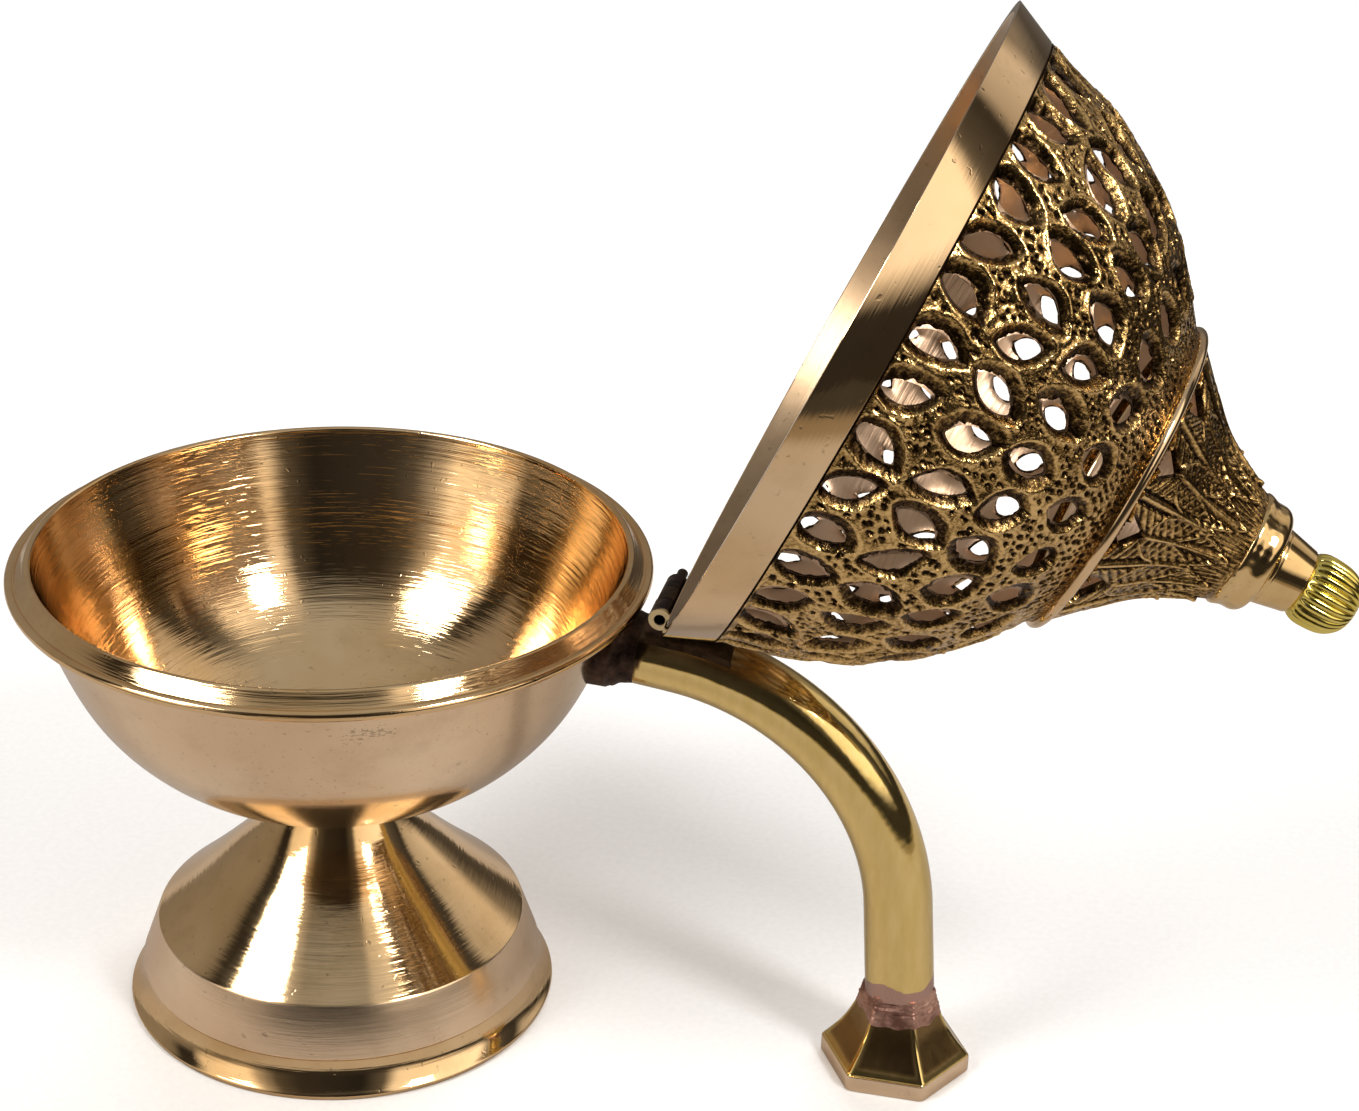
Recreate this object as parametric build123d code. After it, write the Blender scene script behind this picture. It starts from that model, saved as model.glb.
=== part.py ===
from build123d import *

"""Brass incense burner: a footed bowl, a bent tube handle with a hexagonal foot, and a hinged pierced lid.

Millimetres. The burner is drawn about the bowl's axis (Z), standing on z = 0, with the handle and the
hinge on +X. The lid is drawn closed and then turned open about the hinge pin. Last, every piece is
shifted along X so that the origin is the middle of the open burner's footprint, on the table.
"""

import os
from math import atan2, cos, hypot, radians, sin, tan

# Bowl
RIM_RADIUS = 50.0  # outside of the rolled bead, the burner's main size
BEAD_RADIUS = 0.85
BEAD_HEIGHT = 77.05
LIP_RADIUS = 46.55  # crown of the thin lip that the lid drops over
LIP_HEIGHT = 79.8
BOSS_RADIUS = 10.5
BOSS_HEIGHT = 36.0  # joint face between the bowl and the pedestal
BOWL_FLOOR = 41.0

# Pedestal
FOOT_RADIUS = 34.9
SHOULDER_RADIUS = 29.9
SHOULDER_HEIGHT = 14.2
BAND_RADIUS = 32.7
BAND_HEIGHT = 6.2
PEDESTAL_TOP_THICKNESS = 3.0

# Fixing under the bowl
STUD_RADIUS = 3.0
WASHER_RADIUS = 7.0
WASHER_THICKNESS = 1.2
NUT_ACROSS_FLATS = 10.0
NUT_HEIGHT = 5.0

# Handle
TUBE_RADIUS = 5.5
TUBE_WALL = 1.0
HANDLE_ROOT = (44.0, 69.47)  # tube centreline inside the bowl wall
HANDLE_DROOP = 6.9  # degrees below level where it leaves the bowl
BEND_RADIUS = 42.3
HANDLE_LEAN = 4.5  # degrees off plumb on the way down
HANDLE_TABLE_X = 94.26  # where the lower leg's centreline would meet the table
TUBE_END_HEIGHT = 14.2

# Hexagonal foot under the handle
HEX_CORNER_RADIUS = 12.2
HEX_BAND = 2.75
HEX_TOP_CORNER_RADIUS = 5.9
HEX_EDGE_ROUND = 1.2
SPIGOT_LENGTH = 8.0

# Hinge
HINGE_X = 53.6
HINGE_Z = 77.4
KNUCKLE_RADIUS = 1.75
PIN_RADIUS = 0.85
RUNNING_CLEARANCE = 0.05
KNUCKLE_GAP = 0.15
MID_KNUCKLE_HALF = 2.0
BARREL_HALF = 6.3
LEAF_THICKNESS = 0.8
HINGE_CLEARANCE = 0.3
PIN_NEAR_END = -3.4  # the pin has crept towards +Y, so this end is inside its knuckle
PIN_FAR_END = 10.3
SADDLE_HALF_WIDTH = 4.3
SADDLE_START_X = 50.8
SADDLE_LENGTH = 13.5

# Lid, heights above its own rim
LID_RADIUS = 51.65
LID_RIM_HEIGHT = 78.21  # height of the closed rim
LID_OPEN_ANGLE = 115.0
LID_WALL = 1.6
LID_BAND_RADIUS = 48.8
LID_BAND_HEIGHT = 6.7
DOME_TOP_RADIUS = 23.6
DOME_TOP_HEIGHT = 44.9
RING_RADIUS = 25.1
RING_SECTION = 1.1
NECK_END_RADIUS = 8.4
NECK_TOP_HEIGHT = 71.0
NECK_END_WALL = 2.0

# Eye-shaped piercings: (height, number round the dome, first angle, length, width)
EYE_ROWS = [
    (10.8, 40, 0.0, 7.6, 3.7),
    (21.2, 40, 2.0, 7.4, 3.6),
    (30.2, 34, -1.0, 6.4, 3.6),
    (38.6, 25, 2.0, 5.8, 3.6),
]
EYE_TILT = 14.0
NECK_LEAVES = 12
NECK_GAP_HEIGHT = 47.4
NECK_GAP_WIDTH = 6.4
NECK_GAP_LENGTH = 4.6

# Finial
COLLAR_BASE_RADIUS = 6.1
COLLAR_TOP_RADIUS = 5.0
COLLAR_LENGTH = 5.3
KNOB_RADIUS = 5.55
KNOB_SEAT_RADIUS = 4.5
KNOB_LENGTH = 9.1
FINIAL_STUD_RADIUS = 1.5
FINIAL_WASHER_RADIUS = 4.2
FINIAL_WASHER_THICKNESS = 0.8
FINIAL_NUT_ACROSS_FLATS = 5.5
FINIAL_NUT_HEIGHT = 2.4

HINGE_AXIS = Axis((HINGE_X, 0, HINGE_Z), (0, 1, 0))


def turned(*edges):
    """A solid turned about the Z axis from an outline in the (radius, height) plane."""
    return revolve(Plane.XZ * make_face(edges), Axis.Z)


def upright_rod(radius, low, high):
    """A rod on the Z axis between two heights."""
    return Pos(0, 0, low) * Cylinder(radius, high - low, align=(Align.CENTER, Align.CENTER, Align.MIN))


def cross_rod(radius, near, far):
    """A rod on the hinge line between two Y values."""
    rod = Cylinder(radius, far - near, rotation=(90, 0, 0))
    return Pos(HINGE_X, (near + far) / 2, HINGE_Z) * rod


def block(low, high):
    """A box between two opposite corners."""
    size = [b - a for a, b in zip(low, high)]
    return Pos(*low) * Box(*size, align=(Align.MIN, Align.MIN, Align.MIN))


def hex_nut(across_flats, bore, low, high):
    """A hexagonal nut on the Z axis."""
    blank = extrude(RegularPolygon(across_flats / 2, 6, major_radius=False), high - low)
    return Pos(0, 0, low) * blank - upright_rod(bore, low, high)


def offset_inside(points, distance):
    """Moves the points of a rising outline towards the axis by a distance along their normals."""
    moved = []
    for index, (radius, height) in enumerate(points):
        before = points[max(index - 1, 0)]
        after = points[min(index + 1, len(points) - 1)]
        along = (after[0] - before[0], after[1] - before[1])
        length = hypot(*along)
        moved.append((radius - distance * along[1] / length, height + distance * along[0] / length))
    return moved


# ---- bowl and pedestal -------------------------------------------------------------------------

BOWL_SIDE = [(BOSS_RADIUS, 37.0), (17.45, 40.0), (29.5, 47.0), (39.3, 58.0), (44.45, 70.0), (46.7, 75.8)]
BOWL_INSIDE = [(45.9, 79.2), (44.8, 76.0), (42.3, 70.0), (37.2, 58.5), (27.6, 48.3), (12.0, 41.9)]


def bowl_rim():
    """The bead, the small groove over it and the sloping outside of the lip."""
    bead_x = RIM_RADIUS - BEAD_RADIUS
    under = (bead_x - 0.4, BEAD_HEIGHT - BEAD_RADIUS * 0.9)
    over = (bead_x - 0.2, BEAD_HEIGHT + BEAD_RADIUS * 0.95)
    groove = (over[0] - 0.35, over[1] - 0.25)
    shoulder = (LIP_RADIUS + 0.45, LIP_HEIGHT - 0.3)
    return [
        Line(BOWL_SIDE[-1], under),
        ThreePointArc(under, (RIM_RADIUS, BEAD_HEIGHT), over),
        Line(over, groove),
        Line(groove, shoulder),
    ], shoulder


def bowl_blank():
    """The bowl's outside as a filled solid, used to trim what is brazed on to it."""
    rim, shoulder = bowl_rim()
    return turned(
        Polyline((0, LIP_HEIGHT - 0.3), (0, BOSS_HEIGHT), (BOSS_RADIUS, BOSS_HEIGHT), BOWL_SIDE[0]),
        Spline(*BOWL_SIDE),
        *rim,
        Line(shoulder, (0, LIP_HEIGHT - 0.3)),
    )


def bowl():
    """The cast bowl: a thin lip inside a rolled bead, and a boss with a blind stud hole."""
    rim, shoulder = bowl_rim()
    shell = turned(
        Polyline((0, BOWL_FLOOR), (0, BOSS_HEIGHT), (BOSS_RADIUS, BOSS_HEIGHT), BOWL_SIDE[0]),
        Spline(*BOWL_SIDE),
        *rim,
        ThreePointArc(shoulder, (LIP_RADIUS, LIP_HEIGHT), BOWL_INSIDE[0]),
        Spline(*BOWL_INSIDE, (0, BOWL_FLOOR), tangents=[(-0.3, -1.0), (-1.0, 0.0)]),
    )
    return shell - upright_rod(STUD_RADIUS, BOSS_HEIGHT, BOSS_HEIGHT + 3.5)


def pedestal():
    """The hollow pedestal: a waisted cone, a sharp shoulder, a plain band and a flared foot."""
    underside = BOSS_HEIGHT - PEDESTAL_TOP_THICKNESS
    hole = STUD_RADIUS + 0.1
    cone = [(9.8, 35.0), (11.7, 32.0), (17.2, 26.0), (23.4, 20.0), (SHOULDER_RADIUS, SHOULDER_HEIGHT)]
    crease = (BAND_RADIUS - 0.35, BAND_HEIGHT - 0.3)
    foot_edge = (FOOT_RADIUS, 0.8)
    neck = [(hole, underside), (hole, BOSS_HEIGHT), (BOSS_RADIUS, BOSS_HEIGHT), (BOSS_RADIUS, 35.0)]
    hollow = [(31.5, 0), (30.6, 5.6), (27.6, 12.8), (21.0, 18.8), (14.6, 24.8), (9.2, 30.6)]
    return turned(
        Polyline(*neck, cone[0]),
        Spline(*cone),
        Polyline(cone[-1], (BAND_RADIUS, BAND_HEIGHT), crease),
        ThreePointArc(crease, (BAND_RADIUS + 0.6, 2.9), foot_edge),
        Polyline(foot_edge, (FOOT_RADIUS - 0.3, 0), *hollow, (hollow[-1][0], underside), neck[0]),
    )


def base_washer():
    top = BOSS_HEIGHT - PEDESTAL_TOP_THICKNESS
    low = top - WASHER_THICKNESS
    return upright_rod(WASHER_RADIUS, low, top) - upright_rod(STUD_RADIUS + 0.1, low, top)


def base_nut():
    top = BOSS_HEIGHT - PEDESTAL_TOP_THICKNESS - WASHER_THICKNESS
    return hex_nut(NUT_ACROSS_FLATS, STUD_RADIUS, top - NUT_HEIGHT, top)


def base_stud():
    return upright_rod(STUD_RADIUS, BOSS_HEIGHT - 11.5, BOSS_HEIGHT + 3.5)


# ---- handle ------------------------------------------------------------------------------------

LEAN_SLOPE = tan(radians(HANDLE_LEAN))
DROOP_SLOPE = tan(radians(HANDLE_DROOP))
TUBE_END_X = HANDLE_TABLE_X - TUBE_END_HEIGHT * LEAN_SLOPE


def handle_path():
    """The tube's centreline: a short drooping run, one bend, and a nearly plumb leg."""
    root_x, root_z = HANDLE_ROOT
    level_x = HANDLE_TABLE_X - (root_z + root_x * DROOP_SLOPE) * LEAN_SLOPE
    corner_x = level_x / (1 - DROOP_SLOPE * LEAN_SLOPE)
    corner_z = root_z - (corner_x - root_x) * DROOP_SLOPE
    return Plane.XZ * FilletPolyline(
        HANDLE_ROOT, (corner_x, corner_z), (TUBE_END_X, TUBE_END_HEIGHT), radius=BEND_RADIUS
    )


def handle_rod(radius):
    """A solid bar of the given radius along the handle's centreline."""
    path = handle_path()
    return sweep(Plane(path @ 0, z_dir=path % 0) * Circle(radius), path=path)


def handle_tube():
    return handle_rod(TUBE_RADIUS) - handle_rod(TUBE_RADIUS - TUBE_WALL) - bowl_blank()


def handle_root_braze():
    """The collar of braze where the tube meets the bowl."""
    root_x, root_z = HANDLE_ROOT
    start = Plane((root_x, 0, root_z), z_dir=(cos(radians(HANDLE_DROOP)), 0, -sin(radians(HANDLE_DROOP))))
    length = (SADDLE_START_X - root_x) / cos(radians(HANDLE_DROOP))
    collar = start * Cone(
        TUBE_RADIUS + 3.4, TUBE_RADIUS + 0.25, length, align=(Align.CENTER, Align.CENTER, Align.MIN)
    )
    beyond = block((SADDLE_START_X - 0.05, -12, HINGE_Z - 24), (SADDLE_START_X + 12, 12, HINGE_Z + 4))
    return collar - handle_rod(TUBE_RADIUS) - bowl_blank() - beyond


def hex_profile():
    """Distance of the flats from the foot's axis against height, from the band up to the tube."""
    flats = cos(radians(30))
    return [
        (HEX_CORNER_RADIUS * flats, HEX_BAND),
        (8.75 * flats, 7.0),
        (6.8 * flats, 11.0),
        (HEX_TOP_CORNER_RADIUS * flats, TUBE_END_HEIGHT - 0.6),
    ]


def leg_end():
    """The plane square to the tube at its lower end, looking back up the leg."""
    lean = radians(HANDLE_LEAN)
    return Plane((TUBE_END_X, 0, TUBE_END_HEIGHT), z_dir=(-sin(lean), 0, cos(lean)))


def handle_foot():
    """The hexagonal foot: three crossed concave prisms give six flared facets on a short band."""
    curve = hex_profile()
    mirrored = [(-x, z) for x, z in reversed(curve)]
    half_width = curve[0][0]
    outline = make_face(
        [
            Polyline((-half_width, HEX_BAND), (-half_width, 0), (half_width, 0), (half_width, HEX_BAND)),
            Spline(*curve),
            Line(curve[-1], mirrored[0]),
            Spline(*mirrored),
        ]
    )
    prism = extrude(Plane.YZ * outline, HEX_CORNER_RADIUS * 2, both=True)
    body = prism & prism.rotate(Axis.Z, 60) & prism.rotate(Axis.Z, 120)
    corner_edges = body.edges().filter_by(Axis.Z)
    body = fillet(corner_edges, HEX_EDGE_ROUND)
    body = Pos(TUBE_END_X, 0, 0) * body
    seat_depth = 1.4
    spigot = leg_end() * Pos(0, 0, -seat_depth) * Cylinder(
        TUBE_RADIUS - TUBE_WALL, SPIGOT_LENGTH + seat_depth, align=(Align.CENTER, Align.CENTER, Align.MIN)
    )
    return body + spigot


def handle_foot_braze():
    """The ring of copper-coloured braze between the tube's end and the foot's facets."""
    ring = leg_end() * Pos(0, 0, -3.2) * Cone(
        TUBE_RADIUS + 1.1, TUBE_RADIUS - 0.1, 3.2, align=(Align.CENTER, Align.CENTER, Align.MIN)
    )
    return ring - handle_foot()


# ---- hinge -------------------------------------------------------------------------------------


def hinge_strap():
    """The tongue that runs from the middle knuckle down to the saddle on the tube."""
    low = HINGE_Z - KNUCKLE_RADIUS
    outline = Polyline(
        (HINGE_X, low),
        (HINGE_X + 2.0, low),
        (HINGE_X + 6.2, low - 3.4),
        (HINGE_X + 7.2, low - 2.8),
        (HINGE_X + 2.4, low + LEAF_THICKNESS),
        (HINGE_X, low + LEAF_THICKNESS),
        close=True,
    )
    return extrude(Plane.XZ * make_face(outline), MID_KNUCKLE_HALF, both=True)


def hinge_fixed_leaf():
    """The fixed leaf: a saddle curved over the tube, a strap and the middle knuckle."""
    saddle = handle_rod(TUBE_RADIUS + LEAF_THICKNESS) & block(
        (SADDLE_START_X, -SADDLE_HALF_WIDTH, HINGE_Z - 14),
        (SADDLE_START_X + SADDLE_LENGTH, SADDLE_HALF_WIDTH, HINGE_Z),
    )
    upper_half = block((SADDLE_START_X, -SADDLE_HALF_WIDTH, 63.0), (70, SADDLE_HALF_WIDTH, HINGE_Z))
    knuckle = cross_rod(KNUCKLE_RADIUS, -MID_KNUCKLE_HALF, MID_KNUCKLE_HALF)
    leaf = (saddle & upper_half) + hinge_strap() + knuckle
    leaf = leaf - handle_rod(TUBE_RADIUS)
    leaf = leaf - cross_rod(PIN_RADIUS, -MID_KNUCKLE_HALF, MID_KNUCKLE_HALF)
    return leaf.solids().sort_by(SortBy.VOLUME)[-1]


def hinge_leaf_braze():
    """The lump of braze that fills the space under the barrel."""
    reach = SADDLE_HALF_WIDTH - 0.6
    lump = block(
        (SADDLE_START_X + 0.1, -reach, HINGE_Z - 8),
        (HINGE_X + 2.6, reach, HINGE_Z - KNUCKLE_RADIUS),
    )
    clear = cross_rod(KNUCKLE_RADIUS + HINGE_CLEARANCE, -BARREL_HALF, BARREL_HALF)
    lump = lump - clear - handle_rod(TUBE_RADIUS + LEAF_THICKNESS) - hinge_strap()
    return lump.solids().sort_by(Axis.Z)[-1]


def hinge_pin():
    pin = cross_rod(PIN_RADIUS, PIN_NEAR_END, PIN_FAR_END)
    return chamfer(pin.edges().filter_by(GeomType.CIRCLE), 0.2)


def band_direction():
    """Unit vectors along and out of the lid's conical band, in the (radius, height) plane."""
    along = (LID_BAND_RADIUS - LID_RADIUS, LID_BAND_HEIGHT)
    length = hypot(*along)
    along = (along[0] / length, along[1] / length)
    return along, (along[1], -along[0])


def band_patch(start, end, thickness):
    """A ring lying on the outside of the lid's band, from one distance above the rim to another."""
    along, out = band_direction()
    corners = []
    for distance, height in ((start, 0), (end, 0), (end, thickness), (start, thickness)):
        radius = LID_RADIUS + along[0] * distance + out[0] * height
        corners.append((radius, LID_RIM_HEIGHT + along[1] * distance + out[1] * height))
    return turned(Polyline(*corners, close=True))


def hinge_lid_leaf():
    """The moving leaf: a plate bent to the lid's band, with the two outer knuckles."""
    plate = band_patch(0, 7.0, LEAF_THICKNESS) & block(
        (RIM_RADIUS - 8, -BARREL_HALF, HINGE_Z - 5), (RIM_RADIUS + 8, BARREL_HALF, HINGE_Z + 15)
    )
    inner_end = MID_KNUCKLE_HALF + KNUCKLE_GAP
    plate = plate - cross_rod(KNUCKLE_RADIUS + HINGE_CLEARANCE, -inner_end, inner_end)
    leaf = plate
    for side in (-1, 1):
        ends = sorted((side * inner_end, side * BARREL_HALF))
        leaf = leaf + cross_rod(KNUCKLE_RADIUS, *ends)
    return leaf - cross_rod(PIN_RADIUS + RUNNING_CLEARANCE, -BARREL_HALF, BARREL_HALF)


def lid_leaf_braze():
    """Two beads of braze along the moving leaf's sides."""
    ring = band_patch(0.6, 6.8, LEAF_THICKNESS * 0.6)
    beads = []
    for side in (-1, 1):
        y_low, y_high = sorted((side * BARREL_HALF, side * (BARREL_HALF + 0.6)))
        beads.append(ring & block((RIM_RADIUS - 8, y_low, HINGE_Z), (RIM_RADIUS + 8, y_high, HINGE_Z + 15)))
    return Compound([bead.solid() for bead in beads])


# ---- lid ---------------------------------------------------------------------------------------

DOME_CURVE = [
    (LID_BAND_RADIUS, LID_BAND_HEIGHT + 0.3),
    (47.3, 12.5),
    (44.8, 20.0),
    (40.2, 29.0),
    (32.7, 38.0),
    (DOME_TOP_RADIUS, DOME_TOP_HEIGHT),
]
NECK_CURVE = [
    (RING_RADIUS - 2.0, 46.6),
    (18.5, 51.4),
    (14.4, 56.0),
    (11.2, 61.6),
    (NECK_END_RADIUS, 68.0),
]


def raised(points):
    """Lifts points given above the lid's rim to their height on the closed burner."""
    return [(radius, LID_RIM_HEIGHT + height) for radius, height in points]


def curve_point(points, height):
    """Radius and slope angle of a rising outline at a height, from its nearest two points."""
    for (r_low, h_low), (r_high, h_high) in zip(points, points[1:]):
        if height <= h_high:
            share = (height - h_low) / (h_high - h_low)
            return r_low + share * (r_high - r_low), atan2(r_low - r_high, h_high - h_low)
    return points[-1][0], 0.0


def surface_plane(points, height, angle, tilt):
    """A plane on the lid's surface, its X running up the lid and its Z pointing out."""
    radius, lean = curve_point(points, height)
    turn = radians(angle)
    up_the_lid = (-sin(lean) * cos(turn), -sin(lean) * sin(turn), cos(lean))
    outward = (cos(lean) * cos(turn), cos(lean) * sin(turn), sin(lean))
    spot = (radius * cos(turn), radius * sin(turn), LID_RIM_HEIGHT + height)
    return Plane(spot, x_dir=up_the_lid, z_dir=outward).rotated((0, 0, tilt))


def eye_cutter(length, width):
    """A pointed-oval punch as long as the wall is thick several times over."""
    tips = ((-length / 2, 0), (length / 2, 0))
    outline = [
        ThreePointArc(tips[0], (0, width / 2), tips[1]),
        ThreePointArc(tips[1], (0, -width / 2), tips[0]),
    ]
    return extrude(make_face(outline), LID_WALL * 2, both=True)


def gap_cutter():
    """A triangular punch, its base towards the ring and its point towards the finial."""
    base = -NECK_GAP_LENGTH / 3
    outline = Polyline(
        (base, -NECK_GAP_WIDTH / 2), (base, NECK_GAP_WIDTH / 2), (base + NECK_GAP_LENGTH, 0), close=True
    )
    return extrude(make_face(outline), LID_WALL * 2, both=True)


def lid_joint():
    """The ends of the joint between the lid's band and its dome: inside the wall and in the groove."""
    rim_inner = (LID_RADIUS - LID_WALL, 0)
    dome_inner = offset_inside(DOME_CURVE, LID_WALL)[0]
    down = 0.07  # share of the way from the dome's inner edge to the rim
    inner = tuple(a + down * (b - a) for a, b in zip(dome_inner, rim_inner))
    return inner, (LID_BAND_RADIUS - 0.3, LID_BAND_HEIGHT + 0.15)


def lid_band():
    """The plain turned band that drops over the bowl's lip, up to the groove round its top."""
    inner, groove = lid_joint()
    rim = [(LID_RADIUS - LID_WALL, 0), (LID_RADIUS, 0)]
    band_top = (LID_BAND_RADIUS, LID_BAND_HEIGHT)
    return turned(Polyline(*raised([inner, *rim, band_top, groove]), close=True))


def lid_dome():
    """The pierced dome above the groove."""
    joint_inner, groove = lid_joint()
    inner = offset_inside(DOME_CURVE, LID_WALL)
    shell = turned(
        Polyline(*raised([inner[0], joint_inner, groove, DOME_CURVE[0]])),
        Spline(*raised(DOME_CURVE)),
        Line(*raised([DOME_CURVE[-1], inner[-1]])),
        Spline(*raised(reversed(inner))),
    )
    cutters = []
    for height, count, first, length, width in EYE_ROWS:
        punch = eye_cutter(length, width)
        for number in range(count):
            tilt = EYE_TILT * sin(number * 2.4 + height)
            angle = first + number * 360 / count
            cutters.append(surface_plane(DOME_CURVE, height, angle, tilt) * punch)
    return shell - cutters


def lid_neck():
    """The leafy neck with its ring bead, closed by a wall that carries the finial."""
    inner = offset_inside(NECK_CURVE, LID_WALL)
    ring_centre = (RING_RADIUS - RING_SECTION, DOME_TOP_HEIGHT + 0.8)
    seat_inner = (inner[0][0], DOME_TOP_HEIGHT)
    ring_low = (ring_centre[0], DOME_TOP_HEIGHT)
    ring_side = (RING_RADIUS, ring_centre[1] + 0.2)
    ceiling = NECK_TOP_HEIGHT - NECK_END_WALL
    hole = FINIAL_STUD_RADIUS + 0.1
    top_edge = (COLLAR_BASE_RADIUS + 0.2, NECK_TOP_HEIGHT)
    top_side = (NECK_END_RADIUS, NECK_TOP_HEIGHT - 1.4)
    end_wall = [top_edge, (hole, NECK_TOP_HEIGHT), (hole, ceiling), (inner[-1][0], ceiling), inner[-1]]
    body = turned(
        Line(*raised([seat_inner, ring_low])),
        ThreePointArc(*raised([ring_low, ring_side, NECK_CURVE[0]])),
        Spline(*raised(NECK_CURVE)),
        ThreePointArc(*raised([NECK_CURVE[-1], top_side, top_edge])),
        Polyline(*raised(end_wall)),
        Spline(*raised(reversed(inner))),
        Line(*raised([inner[0], seat_inner])),
    )
    punch = gap_cutter()
    cutters = []
    for number in range(NECK_LEAVES):
        angle = -97.0 + number * 360 / NECK_LEAVES
        cutters.append(surface_plane(NECK_CURVE, NECK_GAP_HEIGHT + 1.6, angle, 0) * punch)
    return body - cutters


def finial_heights():
    """Heights of the finial's joints on the closed burner: seat, collar top, knob top."""
    seat = LID_RIM_HEIGHT + NECK_TOP_HEIGHT
    return seat, seat + COLLAR_LENGTH, seat + COLLAR_LENGTH + KNOB_LENGTH


def finial_collar():
    seat, top, _ = finial_heights()
    cone = Pos(0, 0, seat) * Cone(
        COLLAR_BASE_RADIUS, COLLAR_TOP_RADIUS, COLLAR_LENGTH, align=(Align.CENTER, Align.CENTER, Align.MIN)
    )
    return cone - upright_rod(FINIAL_STUD_RADIUS + 0.05, seat, top)


def finial_knob():
    _, low, top = finial_heights()
    knob = turned(
        Polyline((0, top), (0, low), (KNOB_SEAT_RADIUS, low)),
        Spline(
            (KNOB_SEAT_RADIUS, low),
            (KNOB_RADIUS - 0.2, low + 1.4),
            (KNOB_RADIUS, low + 3.6),
            (KNOB_RADIUS - 0.5, low + 6.4),
            (KNOB_RADIUS - 2.2, top - 0.7),
            (0, top),
        ),
    )
    return knob - upright_rod(FINIAL_STUD_RADIUS, low, low + 5.7)


def finial_stud():
    seat, low, _ = finial_heights()
    return upright_rod(FINIAL_STUD_RADIUS, seat - NECK_END_WALL - 4.2, low + 5.7)


def finial_washer():
    top = finial_heights()[0] - NECK_END_WALL
    low = top - FINIAL_WASHER_THICKNESS
    return upright_rod(FINIAL_WASHER_RADIUS, low, top) - upright_rod(FINIAL_STUD_RADIUS + 0.1, low, top)


def finial_nut():
    top = finial_heights()[0] - NECK_END_WALL - FINIAL_WASHER_THICKNESS
    return hex_nut(FINIAL_NUT_ACROSS_FLATS, FINIAL_STUD_RADIUS, top - FINIAL_NUT_HEIGHT, top)


# ---- assembly ----------------------------------------------------------------------------------

STANDING_PIECES = [
    bowl, pedestal, base_stud, base_washer, base_nut, handle_tube, handle_root_braze, handle_foot,
    handle_foot_braze, hinge_fixed_leaf, hinge_leaf_braze, hinge_pin,
]
LID_PIECES = [
    lid_band, lid_dome, lid_neck, hinge_lid_leaf, lid_leaf_braze, finial_collar, finial_knob,
    finial_stud, finial_washer, finial_nut,
]

pieces = {make.__name__: make() for make in STANDING_PIECES}
for make in LID_PIECES:
    pieces[make.__name__] = make().rotate(HINGE_AXIS, LID_OPEN_ANGLE)

boxes = [piece.bounding_box() for piece in pieces.values()]
middle_x = (min(box.min.X for box in boxes) + max(box.max.X for box in boxes)) / 2

os.makedirs("parts", exist_ok=True)
for name, piece in pieces.items():
    export_step(Pos(-middle_x, 0, 0) * piece, f"parts/{name}.step")

print("bowl axis at x =", round(-middle_x, 4))
print("hinge at x =", round(HINGE_X - middle_x, 4))
print("handle foot at x =", round(TUBE_END_X - middle_x, 4))
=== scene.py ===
from math import atan2, cos, hypot, pi, radians, sin, tan

import bpy
import numpy as np
from mathutils import Matrix, Vector


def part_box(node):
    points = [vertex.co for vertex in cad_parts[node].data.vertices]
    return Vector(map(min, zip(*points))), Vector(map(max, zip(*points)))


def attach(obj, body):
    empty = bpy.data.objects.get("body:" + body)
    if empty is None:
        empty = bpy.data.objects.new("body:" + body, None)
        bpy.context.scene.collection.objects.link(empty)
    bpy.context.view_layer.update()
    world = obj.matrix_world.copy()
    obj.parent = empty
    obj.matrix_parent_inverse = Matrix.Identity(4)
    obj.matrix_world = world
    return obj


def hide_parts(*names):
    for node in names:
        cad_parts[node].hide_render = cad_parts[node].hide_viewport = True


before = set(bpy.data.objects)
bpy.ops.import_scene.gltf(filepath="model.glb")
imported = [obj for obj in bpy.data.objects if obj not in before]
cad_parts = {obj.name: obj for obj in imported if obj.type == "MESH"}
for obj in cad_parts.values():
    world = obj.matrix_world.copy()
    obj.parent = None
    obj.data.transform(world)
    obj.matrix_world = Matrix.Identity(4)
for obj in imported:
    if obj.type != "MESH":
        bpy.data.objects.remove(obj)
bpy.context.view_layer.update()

# Lengths are in millimetres until a mesh or an object is placed.
MM = 0.001
TURNED_SIDES = 256  # sides of a turned piece

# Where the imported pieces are
BOWL_LOW, BOWL_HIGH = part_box("bowl")
PIN_LOW, PIN_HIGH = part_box("hinge_pin")
FOOT_LOW, FOOT_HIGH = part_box("handle_foot")
AXIS_X = (BOWL_LOW.x + BOWL_HIGH.x) / 2 / MM
HINGE_X = (PIN_LOW.x + PIN_HIGH.x) / 2 / MM - AXIS_X
HINGE_Z = (PIN_LOW.z + PIN_HIGH.z) / 2 / MM
FOOT_X = (FOOT_LOW.x + FOOT_HIGH.x) / 2 / MM - AXIS_X
RIM_RADIUS = (BOWL_HIGH.x - BOWL_LOW.x) / 2 / MM
LIP_HEIGHT = BOWL_HIGH.z / MM

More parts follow.
